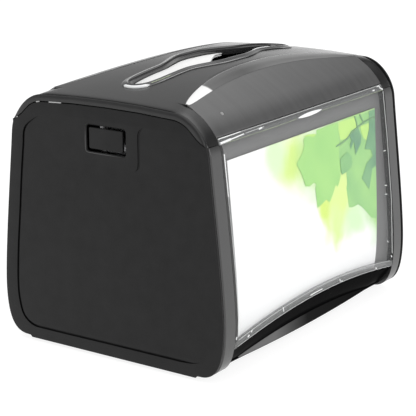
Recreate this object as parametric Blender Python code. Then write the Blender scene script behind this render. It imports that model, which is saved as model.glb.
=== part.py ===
"""Tabletop napkin dispenser with a push-button loading door at one end.

Frame: origin at the bottom centre, +X along the length (the door closes the -X end),
the two display windows face -Y (front) and +Y (rear), +Z is up.
All sizes below are in millimetres; MM turns them into Blender's metres.
"""
import math

import bpy
import bmesh

MM = 0.001

# Driving dimensions
LENGTH = 201.0
HALF_LENGTH = LENGTH / 2
CROWN_HEIGHT = 155.0          # top of the dome, at the centre
DOME_FALL = 9.3               # how far the dome falls towards each end
DOME_CROSS = 1440.0           # the dome's cross curvature: y * y / DOME_CROSS
BODY_BOTTOM = 2.6
SEAM = 128.0                  # where the top cover meets the body
GAP = 0.3                     # between parts that touch
END_PLATE = 1.3               # thickness of the door and end panel plates
SHADOW_GAP = 1.0              # between an end plate and the shell's rim
SHELL_END = HALF_LENGTH - END_PLATE - SHADOW_GAP
PANEL_HALF = 88.2             # half length of the display recess between the pillars
ARCH_TOP = 24.3               # lower edge of the window at the middle
ARCH_FALL = 7.5               # and how far it falls towards the pillars
HINGE_X, HINGE_Z = -97.4, 4.9
PIN_RADIUS = 0.9              # of the door hinge
DOOR_LIP = (57.0, 1.4)        # half width of the lip under the door, and its height above the table
SCREW_X = (-90.9, 93.0)       # the base screws at the two ends
WINDOW_AXIS_Y, WINDOW_AXIS_Z = 72.3, 17.5
PIP_RADIUS = 0.9              # of the window's pivots
BUTTON_HALF_WIDTH = 11.3
BUTTON_LOW, BUTTON_HIGH = 118.6, 130.3
PLATFORM_TOP = 83.0
FLANGE_LOW = 142.15           # underside of the keeper flange above the door
STACK_HALF = (82.5, 53.0)

# Corner points and handles of the side of the cross-section, from the base up, as (y, z)
CORNER = ((60.0, BODY_BOTTOM), (70.5, BODY_BOTTOM), (75.0, 11.0), (75.0, 31.5))
SIDE = ((75.0, 31.5), (75.0, 50.0), (68.4, 102.0), (66.4, 122.0))
SHOULDER = ((66.4, 122.0), (65.6, 130.5), (57.5, 138.7), (52.0, 142.1))
HOOD_TOP = (27.0, 157.5)
END_SHOULDER = ((66.4, 122.0), (65.4, 131.5), (57.5, 142.2), (46.5, 144.1))
END_CROWN = (0.0, 145.7)


# ---------------------------------------------------------------- scene helpers

for old in list(bpy.data.objects):
    bpy.data.objects.remove(old)


def new_collection(name):
    collection = bpy.data.collections.new(name)
    bpy.context.scene.collection.children.link(collection)
    return collection


PARTS = new_collection("napkin_dispenser")
CUTTERS = new_collection("cutters")


def new_material(name, color, roughness, metallic=0.0, alpha=1.0):
    material = bpy.data.materials.new(name)
    material.use_nodes = True
    shader = material.node_tree.nodes["Principled BSDF"]
    shader.inputs["Base Color"].default_value = (*color, 1.0)
    shader.inputs["Roughness"].default_value = roughness
    shader.inputs["Metallic"].default_value = metallic
    shader.inputs["Alpha"].default_value = alpha
    return material


def place(obj, name, material):
    """Name an object and put it with the parts, or with the cutters if it has no material."""
    for collection in list(obj.users_collection):
        collection.objects.unlink(obj)
    obj.name = name
    obj.data.name = name
    if material is None:
        CUTTERS.objects.link(obj)
        obj.hide_render = True
        obj.display_type = "WIRE"
    else:
        PARTS.objects.link(obj)
        obj.data.materials.clear()
        obj.data.materials.append(material)
    return obj


def box(name, low, high, material=None):
    center = [(a + b) / 2 * MM for a, b in zip(low, high)]
    bpy.ops.mesh.primitive_cube_add(size=1.0, location=center)
    obj = bpy.context.object
    for vertex in obj.data.vertices:
        vertex.co = [c * (b - a) * MM for c, a, b in zip(vertex.co, low, high)]
    return place(obj, name, material)


TURNS = {"X": (0.0, math.pi / 2, 0.0), "Y": (-math.pi / 2, 0.0, 0.0), "Z": (0.0, 0.0, 0.0)}


def cylinder(name, axis, center, radius, low, high, material=None, sides=16):
    """A cylinder along axis from low to high; center holds its other two coordinates."""
    place_at = list(center)
    place_at.insert("XYZ".index(axis), (low + high) / 2)
    bpy.ops.mesh.primitive_cylinder_add(vertices=sides, radius=radius * MM, depth=(high - low) * MM,
                                        location=[v * MM for v in place_at], rotation=TURNS[axis])
    return place(bpy.context.object, name, material)


OUTLINE_TURNS = {"X": (math.pi / 2, 0.0, math.pi / 2), "Y": (math.pi / 2, 0.0, 0.0), "Z": (0.0, 0.0, 0.0)}


def extrusion(name, axis, outlines, low, high, material=None):
    """A flat outline, with any holes, extruded along axis.

    Outline points are (y, z) for axis X, (x, z) for axis Y and (x, y) for axis Z.
    """
    data = bpy.data.curves.new(name, "CURVE")
    data.dimensions = "2D"
    data.fill_mode = "BOTH"
    data.extrude = (high - low) / 2 * MM
    for outline in outlines:
        spline = data.splines.new("POLY")
        spline.points.add(len(outline) - 1)
        for point, (u, v) in zip(spline.points, outline):
            point.co = (u * MM, v * MM, 0.0, 1.0)
        spline.use_cyclic_u = True
    curve = bpy.data.objects.new(name, data)
    middle = (low + high) / 2 * MM
    curve.location = {"X": (middle, 0, 0), "Y": (0, middle, 0), "Z": (0, 0, middle)}[axis]
    curve.rotation_euler = OUTLINE_TURNS[axis]
    bpy.context.scene.collection.objects.link(curve)
    return mesh_from_curve(curve, name, material)


def mesh_from_curve(curve, name, material):
    """Turn a curve object into a mesh object with its caps welded on."""
    bpy.context.view_layer.update()
    evaluated = curve.evaluated_get(bpy.context.evaluated_depsgraph_get())
    mesh = bpy.data.meshes.new_from_object(evaluated)
    bm = bmesh.new()
    bm.from_mesh(mesh)
    bmesh.ops.remove_doubles(bm, verts=bm.verts, dist=0.00001)
    bmesh.ops.recalc_face_normals(bm, faces=bm.faces)
    bm.to_mesh(mesh)
    bm.free()
    obj = bpy.data.objects.new(name, mesh)
    obj.matrix_world = curve.matrix_world
    bpy.context.scene.collection.objects.link(obj)
    bpy.data.objects.remove(curve)
    return place(obj, name, material)


def combine(target, tool, operation):
    modifier = target.modifiers.new(operation.lower() + "_" + tool.name, "BOOLEAN")
    modifier.operation = operation
    modifier.object = tool
    modifier.solver = "EXACT"
    return target


def cut(target, *tools):
    for tool in tools:
        combine(target, tool, "DIFFERENCE")
    return target


def join(target, *tools):
    for tool in tools:
        combine(target, tool, "UNION")
    return target


def common(target, tool):
    return combine(target, tool, "INTERSECT")


def smooth(obj, angle=35.0):
    obj.data.shade_smooth()
    obj.data.set_sharp_from_angle(angle=math.radians(angle))
    return obj


# ---------------------------------------------------------------- shape formulas

def bezier(points, steps):
    """Points along one cubic Bezier piece, both ends included."""
    result = []
    for i in range(steps + 1):
        t = i / steps
        weights = ((1 - t) ** 3, 3 * t * (1 - t) ** 2, 3 * t * t * (1 - t), t ** 3)
        result.append(tuple(sum(w * p[k] for w, p in zip(weights, points)) for k in (0, 1)))
    return result


def side_profile():
    """The side of the cross-section from the base corner up to the hood's top edge."""
    return bezier(CORNER, 5) + bezier(SIDE, 4)[1:] + bezier(SHOULDER, 5)[1:] + [HOOD_TOP]


def parallel(points, inset):
    """The polyline moved inward (towards -y, for one that runs upward) by inset."""
    moved = []
    for i, (y, z) in enumerate(points):
        before = points[max(i - 1, 0)]
        after = points[min(i + 1, len(points) - 1)]
        dy, dz = after[0] - before[0], after[1] - before[1]
        length = math.hypot(dy, dz)
        moved.append((y - inset * dz / length, z + inset * dy / length))
    return moved


def between(points, low, high):
    """The stretch of an upward polyline between two heights."""
    result = []
    for (y0, z0), (y1, z1) in zip(points, points[1:]):
        for height in (low, high):
            if z0 < height < z1:
                result.append((y0 + (y1 - y0) * (height - z0) / (z1 - z0), height))
        if low <= z1 <= high:
            result.append((y1, z1))
    if low <= points[0][1]:
        result.insert(0, points[0])
    return sorted(result, key=lambda point: point[1])


def wall(inset, low, high):
    return between(parallel(side_profile(), inset), low, high)


def band(outer_inset, inner_inset, low, high):
    """A closed (y, z) outline of a wall at +y, between two insets and two heights."""
    return wall(outer_inset, low, high) + wall(inner_inset, low, high)[::-1]


def mirrored(half):
    """A closed outline from its half at +y; a point of the half may lie on the middle line."""
    return half + [(-y, z) for y, z in reversed(half) if y > 0.001]


def flipped(outline, side):
    return [(side * y, z) for y, z in outline][::side]


def end_outline(inset=0.0):
    half = bezier(CORNER, 5) + bezier(SIDE, 4)[1:] + bezier(END_SHOULDER, 5)[1:]
    return parallel(half, inset) + [(0.0, END_CROWN[1] - inset)]


def dome_height(x, y):
    return CROWN_HEIGHT - DOME_FALL * (x / HALF_LENGTH) ** 2 - y * y / DOME_CROSS


def arch_height(x):
    return ARCH_TOP - ARCH_FALL * (x / 87.0) ** 2


def block(name, half_x, half_y, bottom, top, columns, rows, material=None):
    """A block with a flat base and vertical sides whose top follows the function top(x, y)."""
    bpy.ops.mesh.primitive_grid_add(x_subdivisions=columns, y_subdivisions=rows, size=2.0)
    obj = bpy.context.object
    bm = bmesh.new()
    bm.from_mesh(obj.data)
    upper = list(bm.verts)
    extruded = bmesh.ops.extrude_face_region(bm, geom=list(bm.faces), use_keep_orig=True)
    lower = [item for item in extruded["geom"] if isinstance(item, bmesh.types.BMVert)]
    for vertex in upper:
        x, y = vertex.co.x * half_x, vertex.co.y * half_y
        vertex.co = (x * MM, y * MM, top(x, y) * MM)
    for vertex in lower:
        x, y = vertex.co.x * half_x, vertex.co.y * half_y
        vertex.co = (x * MM, y * MM, bottom * MM)
    bmesh.ops.dissolve_limit(bm, angle_limit=0.0005, verts=bm.verts, edges=bm.edges)
    bmesh.ops.triangulate(bm, faces=bm.faces)
    bmesh.ops.recalc_face_normals(bm, faces=bm.faces)
    bm.to_mesh(obj.data)
    bm.free()
    return place(obj, name, material)


def dome(name, offset, bottom=SEAM, half_x=SHELL_END, half_y=80.0, material=None, columns=16, rows=8):
    def top(x, y):
        return dome_height(x, y) + offset
    return block(name, half_x, half_y, bottom, top, columns, rows, material)


def under_arch(name, offset, half_x, lowest=-10.0):
    """A cutter that takes away everything below the arch, moved up by offset."""
    steps = 12
    curve = [(-half_x + 2 * half_x * i / steps) for i in range(steps + 1)]
    outline = [(x, arch_height(x) + offset) for x in curve] + [(half_x, lowest), (-half_x, lowest)]
    return extrusion(name, "Y", [outline], -90.0, 90.0)


def slot_outline(half_length, end_width, middle_width, steps=17):
    """The long slot, wider in the middle: half widths by a smooth step and round tips."""
    half = []
    for i in range(1, steps):
        x = -half_length * math.cos(math.pi * i / steps)
        blend = min(max((36.0 - abs(x)) / 22.0, 0.0), 1.0)
        width = end_width + (middle_width - end_width) * blend * blend * (3 - 2 * blend)
        half.append((x, width * (1 - (abs(x) / half_length) ** 8) ** 0.5))
    return [(-half_length, 0.0)] + half + [(half_length, 0.0)] + [(x, -y) for x, y in reversed(half)]


def helix(name, center, radius, wire, low, high, turns, material):
    """A compression spring along Z, its wire's outside reaching from low to high."""
    steps = 9
    data = bpy.data.curves.new(name, "CURVE")
    data.dimensions = "3D"
    data.bevel_depth = wire / 2 * MM
    data.bevel_resolution = 2
    data.use_fill_caps = True
    spline = data.splines.new("POLY")
    count = turns * steps + 1
    spline.points.add(count - 1)
    rise = high - low - wire
    for i, point in enumerate(spline.points):
        angle = 2 * math.pi * i / steps
        x = center[0] + (radius - wire / 2) * math.cos(angle)
        y = center[1] + (radius - wire / 2) * math.sin(angle)
        z = low + wire / 2 + rise * i / (count - 1)
        point.co = (x * MM, y * MM, z * MM, 1.0)
    curve = bpy.data.objects.new(name, data)
    bpy.context.scene.collection.objects.link(curve)
    return mesh_from_curve(curve, name, material)


# ---------------------------------------------------------------- materials

MATTE_GREY = new_material("matte_grey", (0.115, 0.115, 0.118), 0.55)
GLOSS_GREY = new_material("gloss_grey", (0.13, 0.13, 0.133), 0.18)
CHARCOAL = new_material("charcoal", (0.030, 0.030, 0.031), 0.5)
BLACK = new_material("gloss_black", (0.008, 0.008, 0.009), 0.2)
CLEAR = new_material("clear", (0.9, 0.92, 0.92), 0.05, 0.0, 0.25)
SILVER = new_material("silver", (0.6, 0.6, 0.61), 0.2, 1.0)
STEEL = new_material("steel", (0.55, 0.55, 0.56), 0.35, 1.0)
CARD = new_material("card", (0.9, 0.93, 0.85), 0.6)
PAPER = new_material("paper", (0.93, 0.93, 0.92), 0.9)
RUBBER = new_material("rubber", (0.02, 0.02, 0.02), 0.8)


# ---------------------------------------------------------------- housing

def make_body_shell():
    """Two hoops joined by recessed side walls, open at both ends, above and below."""
    top = SEAM - GAP
    outer = mirrored(wall(0.0, 0.0, top))
    shell = extrusion("body_shell", "X", [outer], -SHELL_END, SHELL_END, MATTE_GREY)
    floor = 5.2
    cavity = mirrored([(60.0, floor)] + wall(7.0, floor, top + 5))
    cut(shell, extrusion("body_cavity", "X", [cavity], -HALF_LENGTH, HALF_LENGTH))
    rebate = mirrored(wall(2.6, floor, top + 5))
    for side in (-1, 1):
        low, high = sorted((side * 93.5, side * HALF_LENGTH))
        cut(shell, extrusion(f"body_rebate_{side}", "X", [rebate], low, high))
        recess = wall(4.2, -5, top + 3) + [(90.0, top + 3), (90.0, -10.0), (55.0, -10.0)]
        cut(shell, extrusion(f"display_recess_{side}", "X", [flipped(recess, side)], -PANEL_HALF, PANEL_HALF))
    cut(shell, under_arch("body_arch", 0.0, PANEL_HALF))
    cut(shell, box("hinge_clearance", (-HALF_LENGTH, -68.0, 0.0), (-93.5, 68.0, 7.0)))
    for y in (-56.0, 56.0):
        arm = box(f"hinge_arm_{y:.0f}", (HINGE_X, y - 3.0, HINGE_Z - 1.5), (-93.0, y + 3.0, HINGE_Z + 1.5))
        lug = cylinder(f"hinge_lug_{y:.0f}", "Y", (HINGE_X, HINGE_Z), 1.6, y - 3.0, y + 3.0)
        bore = cylinder(f"hinge_bore_{y:.0f}", "Y", (HINGE_X, HINGE_Z), PIN_RADIUS + 0.1,
                        y - 5, y + 5, sides=12)
        cut(join(shell, arm, lug), bore)
    for x in SCREW_X:
        for y in (-45.0, 45.0):
            cut(shell, cylinder(f"base_screw_hole_{x:.0f}_{y:.0f}", "Z", (x, y), 1.5, 0.0, 8.0, sides=12))
            cut(shell, cylinder(f"base_screw_seat_{x:.0f}_{y:.0f}", "Z", (x, y), 2.5, 0.0, 4.2, sides=12))
    for x in (-PANEL_HALF, PANEL_HALF):
        for y in (-WINDOW_AXIS_Y, WINDOW_AXIS_Y):
            hole = cylinder(f"window_pip_hole_{x:.0f}_{y:.0f}", "X", (y, WINDOW_AXIS_Z), PIP_RADIUS + 0.3,
                            x - 1.7, x + 1.7, sides=12)
            cut(shell, hole)
    return smooth(shell)


def make_top_cover():
    """The domed cover with a recess down each side for a hood and the slot through its crown."""
    cover = dome("top_cover", 0.0, material=MATTE_GREY)
    sides = mirrored(wall(0.0, 120.0, 170.0) + [(0.0, 175.0)])
    common(cover, extrusion("cover_sides", "X", [sides], -HALF_LENGTH, HALF_LENGTH))
    cavity = dome("cover_cavity", -2.6, bottom=SEAM - 5, half_x=HALF_LENGTH, half_y=79.0)
    sides = mirrored(wall(6.5, 110.0, 165.0) + [(0.0, 170.0)])
    common(cavity, extrusion("cover_cavity_sides", "X", [sides], -110.0, 110.0))
    cut(cover, cavity)
    for side in (-1, 1):
        recess = wall(2.3, 130.0, 170.0) + [(90.0, 170.0), (90.0, 130.0)]
        cut(cover, extrusion(f"hood_recess_{side}", "X", [flipped(recess, side)], -PANEL_HALF, PANEL_HALF))
        ledge = wall(4.2, 120.0, 130.7) + [(90.0, 130.7), (90.0, 120.0)]
        cut(cover, extrusion(f"window_ledge_{side}", "X", [flipped(ledge, side)], -PANEL_HALF, PANEL_HALF))
    cut(cover, extrusion("cover_slot", "Z", [slot_outline(75.8, 10.8, 18.8)], 140.0, 160.0))
    return smooth(cover)


def make_hood(name, side):
    """The glossy panel between the dome's arched crease and the window."""
    outline = flipped(band(0.0, 2.0, 130.9, 157.0), side)
    hood = extrusion(name, "X", [outline], -PANEL_HALF + GAP, PANEL_HALF - GAP, GLOSS_GREY)
    common(hood, dome(name + "_top", 0.0, bottom=120.0, half_x=HALF_LENGTH))
    return smooth(hood)


def make_slot_bezel():
    """The raised rim around the slot, dropped through the cover from above."""
    bezel = extrusion("slot_bezel", "Z", [slot_outline(75.5, 10.5, 18.5), slot_outline(72.4, 7.9, 14.4)],
                      140.0, 160.0, SILVER)
    lip = dome("bezel_lip_level", 0.3, bottom=100.0, half_x=HALF_LENGTH)
    cut(bezel, dome("bezel_underside", -4.0, bottom=100.0, half_x=HALF_LENGTH))
    rim = extrusion("bezel_rim", "Z", [slot_outline(77.0, 12.0, 20.0), slot_outline(72.0, 7.5, 14.0)],
                    140.0, 160.0)
    cut(rim, lip)
    join(bezel, rim)
    common(bezel, dome("bezel_top", 1.6, bottom=100.0, half_x=HALF_LENGTH))
    return smooth(bezel)


def make_dispensing_plate():
    """The black plate below the slot that lets one napkin at a time be pulled through."""
    outline = slot_outline(83.0, 21.0, 26.0)
    hole = [(-40.0, -9.5), (44.0, -9.5), (44.0, 9.5), (-40.0, 9.5)]
    plate = extrusion("dispensing_plate", "Z", [outline, hole], 130.0, 160.0, BLACK)
    common(plate, dome("plate_top", -6.6, bottom=100.0, half_x=HALF_LENGTH))
    for x in (-79.0, 79.0):
        for y in (-12.0, 12.0):
            post = cylinder(f"plate_post_{x:.0f}_{y:.0f}", "Z", (x, y), 2.5, 120.0, 160.0, sides=12)
            common(post, dome(f"plate_post_top_{x:.0f}_{y:.0f}", -2.9, bottom=100.0, half_x=HALF_LENGTH))
            join(plate, post)
    cut(plate, dome("plate_underside", -8.6, bottom=100.0, half_x=HALF_LENGTH))
    return smooth(plate)


def tray_section(x):
    """The base tray's closed (y, z) section at station x, which the loft runs through."""
    share = max(0.0, 1.0 - (x / 72.5) ** 2)
    edge_y, edge_z = 65.2 + 1.3 * share, 5.5 - 0.9 * share
    ridge_y, ridge_z = 64.9 + 1.0 * share, 6.0 + 5.0 * share
    top_z = arch_height(x) - 0.6
    top_y = wall(1.0, top_z, 60.0)[0][0]
    inner = 2.2
    right = [(57.0, 2.9), (edge_y - 2.5, 3.3), (edge_y, edge_z), (ridge_y, ridge_z), (top_y, top_z),
             (top_y - inner - 1.2, top_z), (ridge_y - inner - 0.8, ridge_z + 1.5), (58.0, 5.6)]
    return right + [(-y, z) for y, z in reversed(right)]


def make_base_tray():
    """The black tray that closes the bottom, lofted so that its sides form arched grips."""
    half, steps = PANEL_HALF - GAP, 14
    bm = bmesh.new()
    rings = []
    for i in range(steps + 1):
        x = -half + 2 * half * i / steps
        rings.append([bm.verts.new((x * MM, y * MM, z * MM)) for y, z in tray_section(x)])
    count = len(rings[0])
    for ring, following in zip(rings, rings[1:]):
        for k in range(count):
            j = (k + 1) % count
            bm.faces.new((ring[k], ring[j], following[j], following[k]))
    bm.faces.new(rings[0])
    bm.faces.new(rings[-1])
    bmesh.ops.triangulate(bm, faces=[f for f in bm.faces if len(f.verts) > 4])
    bmesh.ops.recalc_face_normals(bm, faces=bm.faces)
    mesh = bpy.data.meshes.new("base_tray")
    bm.to_mesh(mesh)
    bm.free()
    tray = place(bpy.data.objects.new("base_tray", mesh), "base_tray", BLACK)
    for x, reach in ((-83.0, -93.6), (83.0, 97.5)):
        for y in (-45.0, 45.0):
            low, high = sorted((x, reach))
            ear = box(f"tray_ear_{x:.0f}_{y:.0f}", (low, y - 5, 5.5), (high, y + 5, 8.0))
            foot_low, foot_high = sorted((x, x * 1.04))
            foot = box(f"tray_ear_foot_{x:.0f}_{y:.0f}", (foot_low, y - 5, 4.0), (foot_high, y + 5, 6.5))
            join(tray, ear, foot)
            screw_x = min(SCREW_X) if x < 0 else max(SCREW_X)
            cut(tray, cylinder(f"tray_ear_hole_{x:.0f}_{y:.0f}", "Z", (screw_x, y), 1.3, 4.0, 9.0, sides=12))
    for x in (-45.0, 45.0):
        join(tray, cylinder(f"tray_spring_seat_{x:.0f}", "Z", (x, 0.0), 9.3, 4.0, 10.0, sides=20))
    return smooth(tray, 25.0)


def end_ribs(name, target, side):
    """Ribs behind an end plate, which slide into the rebate around the shell's mouth."""
    low, high = sorted((side * 94.0, side * (HALF_LENGTH - END_PLATE / 2)))
    for hand in (-1, 1):
        rib = flipped(band(3.2, 5.0, 12.0, 122.0), hand)
        join(target, extrusion(f"{name}_rib_{hand}", "X", [rib], low, high))


def door_top_edge(drop=0.0):
    """The door's top edge from the middle out to the seam, lowered by drop."""
    flat = [(0.0, 141.8), (22.0, 141.5), (44.0, 140.4)]
    fall = bezier(((44.0, 140.4), (56.0, 139.5), (56.0, 131.0), (65.4, 128.6)), 6)[1:]
    return [(y, z - drop) for y, z in flat + fall]


def flange(name, target, side):
    """The flange behind the top of an end plate, which lies just under the cover."""
    low, high = sorted((side * 92.5, side * (HALF_LENGTH - END_PLATE / 2)))
    join(target, box(name + "_flange", (low, -25.0, FLANGE_LOW), (high, 25.0, FLANGE_LOW + 0.7)))


def make_end_panel():
    """The fixed panel that closes the +X end."""
    outline = mirrored(end_outline())
    panel = extrusion("end_panel", "X", [outline], HALF_LENGTH - END_PLATE, HALF_LENGTH, CHARCOAL)
    end_ribs("end_panel", panel, 1)
    flange("end_panel", panel, 1)
    return smooth(panel)


def make_door_lintel():
    """The fixed strip above the door, which carries the latch's keeper flange."""
    upper = [point for point in bezier(END_SHOULDER, 8) if point[1] >= SEAM + 1.2]
    lower = [point for point in door_top_edge(-GAP) if point[0] < upper[0][0] - 0.8]
    half = lower[1:] + upper
    outline = [lower[0]] + half + [END_CROWN] + [(-y, z) for y, z in half[::-1]]
    lintel = extrusion("door_lintel", "X", [outline], -HALF_LENGTH, -HALF_LENGTH + END_PLATE, CHARCOAL)
    flange("door_lintel", lintel, -1)
    return smooth(lintel)


def make_insert_card(name, side):
    half = 79.5
    outline = flipped(band(2.9, 3.5, 10.0, 117.3), side)
    card = extrusion(name, "X", [outline], -half, half, CARD)
    return smooth(cut(card, under_arch(name + "_arch", 2.9, half + 1)))


def make_foot_strip(name, inner, outer):
    """A rubber strip across the base; the one near the door leaves room for the door's lip."""
    low, high = sorted((inner, outer))
    return box(name, (low, -57.0, 0.0), (high, 57.0, BODY_BOTTOM - GAP), RUBBER)


def make_guide_rail(name, y):
    return box(name, (88.6, y - 3, 5.5), (94.0, y + 3, 127.0), STEEL)


def make_screw(name, axis, center, tip, head, head_radius=2.3, shank_radius=1.1):
    """A pan-head screw along axis, from its tip to the outside of its head."""
    step = 1.4 if head > tip else -1.4
    low, high = sorted((tip, head - step / 2))
    screw = cylinder(name, axis, center, shank_radius, low, high, STEEL, sides=10)
    low, high = sorted((head - step, head))
    join(screw, cylinder(name + "_head", axis, center, head_radius, low, high, sides=14))
    return smooth(screw)


def make_hinge_pin(name, y):
    low, high = sorted((y * 39.0, y * 59.5))
    return smooth(cylinder(name, "Y", (HINGE_X, HINGE_Z), PIN_RADIUS, low, high, STEEL, sides=12))


def make_top_napkin():
    """The napkin that is ready in the slot, its slanted fold running across the opening."""
    napkin = extrusion("top_napkin", "Z", [slot_outline(71.3, 6.9, 13.4)], 130.0, 160.0, PAPER)
    fold = [(-80.0, -20.0), (-38.7, -20.0), (37.4, 20.0), (-80.0, 20.0)]
    common(napkin, extrusion("napkin_fold", "Z", [fold], 130.0, 160.0))
    common(napkin, dome("top_napkin_top", -2.7, bottom=100.0, half_x=HALF_LENGTH))
    cut(napkin, dome("top_napkin_underside", -6.3, bottom=100.0, half_x=HALF_LENGTH))
    return smooth(napkin)


# ---------------------------------------------------------------- door

def make_door_panel():
    """The hinged door, with its knuckles, ribs, bosses and the well for the button."""
    lower = bezier(CORNER, 5) + bezier(SIDE, 4)[1:]
    lip = [DOOR_LIP, (DOOR_LIP[0] + 1.2, BODY_BOTTOM - 0.1)]
    half = lip + lower + between(bezier(END_SHOULDER, 8), 122.0, SEAM)[1:] + door_top_edge()[::-1]
    door = extrusion("door_panel", "X", [mirrored(half)], -HALF_LENGTH, -HALF_LENGTH + END_PLATE, CHARCOAL)
    end_ribs("door_panel", door, -1)
    for y in (-46.0, 46.0):
        knuckle = cylinder(f"door_knuckle_{y:.0f}", "Y", (HINGE_X, HINGE_Z), 2.2, y - 6, y + 6)
        bore = cylinder(f"door_bore_{y:.0f}", "Y", (HINGE_X, HINGE_Z), PIN_RADIUS + 0.1,
                        y - 8, y + 8, sides=12)
        cut(join(door, knuckle), bore)
    for y in (-44.0, 44.0):
        for z in (30.0, 115.0):
            tip = -91.7
            join(door, cylinder(f"door_boss_{y:.0f}_{z:.0f}", "X", (y, z), 3.2, -99.8, tip, sides=14))
            cut(door, cylinder(f"door_boss_bore_{y:.0f}_{z:.0f}", "X", (y, z), 1.3, -97.5, tip + 1, sides=12))
    gap = 0.8
    well = box("button_well", (-102.0, -BUTTON_HALF_WIDTH - gap, BUTTON_LOW - gap),
               (-97.0, BUTTON_HALF_WIDTH + gap, BUTTON_HIGH + gap))
    return smooth(cut(door, well))


def make_door_liner():
    """The inner cover of the door, with the shelf that the latch spring stands on."""
    liner = box("door_liner", (-91.4, -52.0, 12.0), (-89.6, 52.0, 132.0), CHARCOAL)
    join(liner, box("spring_shelf", (-96.6, -6.0, 93.5), (-90.5, 6.0, 95.7)))
    for y in (-10.5, 10.5):
        join(liner, box(f"latch_guide_{y:.0f}", (-95.0, y - 1.0, 100.0), (-90.5, y + 1.0, 116.0)))
    for y in (-44.0, 44.0):
        for z in (30.0, 115.0):
            cut(liner, cylinder(f"liner_hole_{y:.0f}_{z:.0f}", "X", (y, z), 1.5, -93.0, -88.0, sides=12))
    return liner


def make_door_button():
    """The push button; the wedge behind it drives the latch bolt down."""
    button = box("door_button", (-100.4, -BUTTON_HALF_WIDTH, BUTTON_LOW),
                 (-98.8, BUTTON_HALF_WIDTH, BUTTON_HIGH), CHARCOAL)
    wedge = [(-99.5, 121.5), (-98.8, 121.5), (-95.8, 124.5), (-95.8, 127.5), (-99.5, 127.5)]
    join(button, extrusion("button_wedge", "Y", [wedge], -5.0, 5.0))
    return button


def make_latch_bolt():
    bolt = box("latch_bolt", (-93.6, -9.0, 110.0), (-91.8, 9.0, FLANGE_LOW - 0.5), STEEL)
    join(bolt, box("latch_foot", (-96.4, -4.0, 110.0), (-92.5, 4.0, 112.0)))
    ramp = [(-96.7, 117.5), (-93.0, 117.5), (-93.0, 126.8), (-96.7, 123.1)]
    return join(bolt, extrusion("latch_ramp", "Y", [ramp], -6.0, 6.0))


# ---------------------------------------------------------------- napkin carriage

def make_platform():
    """The sprung plate that lifts the napkins; its ears slide on the two guide rails."""
    low, high = PLATFORM_TOP - 3.0, PLATFORM_TOP
    plate = box("napkin_platform", (-86.0, -54.0, low), (84.0, 54.0, high), CHARCOAL)
    for y in (-30.0, 30.0):
        join(plate, box(f"platform_ear_{y:.0f}", (80.0, y - 8, low + 0.01), (97.0, y + 8, high - 0.01)))
        cut(plate, box(f"platform_rail_hole_{y:.0f}", (88.0, y - 3.6, low - 2), (94.6, y + 3.6, high + 2)))
    for x in (-45.0, 45.0):
        join(plate, cylinder(f"platform_spring_seat_{x:.0f}", "Z", (x, 0.0), 9.3, low - 4, low + 1, sides=20))
    return plate


def make_napkin_stack():
    def crowned(x, y):
        return 140.0 - 9.0 * (y / STACK_HALF[1]) ** 2 - 3.0 * (x / STACK_HALF[0]) ** 2
    stack = block("napkin_stack", *STACK_HALF, PLATFORM_TOP + GAP, crowned, 6, 8, PAPER)
    return smooth(stack)


# ---------------------------------------------------------------- windows

def make_window(name, side):
    """The clear snap-in cover: a thin curved pane with a rim that stands on the recess."""
    half = PANEL_HALF - GAP
    outline = flipped(band(0.0, 3.8, 8.0, 130.4), side)
    window = extrusion(name, "X", [outline], -half, half, CLEAR)
    hollow_outline = flipped(band(2.0, 6.0, 8.0, 128.3), side)
    hollow = extrusion(name + "_hollow", "X", [hollow_outline], -half + 1.8, half - 1.8)
    cut(hollow, under_arch(name + "_rim_arch", 2.2, half + 5))
    cut(window, hollow, under_arch(name + "_arch", 0.4, half + 5))
    for x in (-half, half):
        pip = cylinder(f"{name}_pip_{x:.0f}", "X", (side * WINDOW_AXIS_Y, WINDOW_AXIS_Z), PIP_RADIUS,
                       x - 1.2, x + 1.2, sides=12)
        join(window, pip)
    return smooth(window)


# ---------------------------------------------------------------- assembly

make_body_shell()
make_top_cover()
make_slot_bezel()
make_dispensing_plate()
make_base_tray()
make_end_panel()
make_door_lintel()
make_top_napkin()
make_door_panel()
make_door_liner()
make_door_button()
make_latch_bolt()
make_platform()
make_napkin_stack()
for word, direction in (("front", -1), ("rear", 1)):
    make_hood(f"side_hood_{word}", direction)
    make_insert_card(f"insert_card_{word}", direction)
    make_window(f"window_{word}", direction)
    make_guide_rail(f"guide_rail_{word}", direction * 30.0)
    make_hinge_pin(f"hinge_pin_{word}", direction)
make_foot_strip("foot_strip_door", -89.0, -93.2)
make_foot_strip("foot_strip_end", 89.0, 98.8)
screw_places = [(screw_x, screw_y) for screw_x in SCREW_X for screw_y in (-45.0, 45.0)]
for screw_number, screw_place in enumerate(screw_places, 1):
    make_screw(f"base_screw_{screw_number}", "Z", screw_place, 7.8, 2.7, head_radius=2.2)
liner_places = [(-44.0, 30.0), (44.0, 30.0), (-44.0, 115.0), (44.0, 115.0)]
for screw_number, screw_place in enumerate(liner_places, 1):
    make_screw(f"liner_screw_{screw_number}", "X", screw_place, -96.5, -87.9)
helix("latch_spring", (-94.1, 0.0), 2.2, 0.8, 96.0, 109.7, 6, STEEL)
helix("platform_spring_door", (-45.0, 0.0), 12.0, 1.6, 5.9, 79.7, 5, STEEL)
helix("platform_spring_end", (45.0, 0.0), 12.0, 1.6, 5.9, 79.7, 5, STEEL)
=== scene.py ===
"""Looks of the napkin dispenser: fine surfaces, materials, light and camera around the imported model.

Lengths are in millimetres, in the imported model's frame, until a mesh is made; MM turns them into metres.
"""
import math

import bmesh
import bpy
from mathutils import Matrix, Vector


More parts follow.
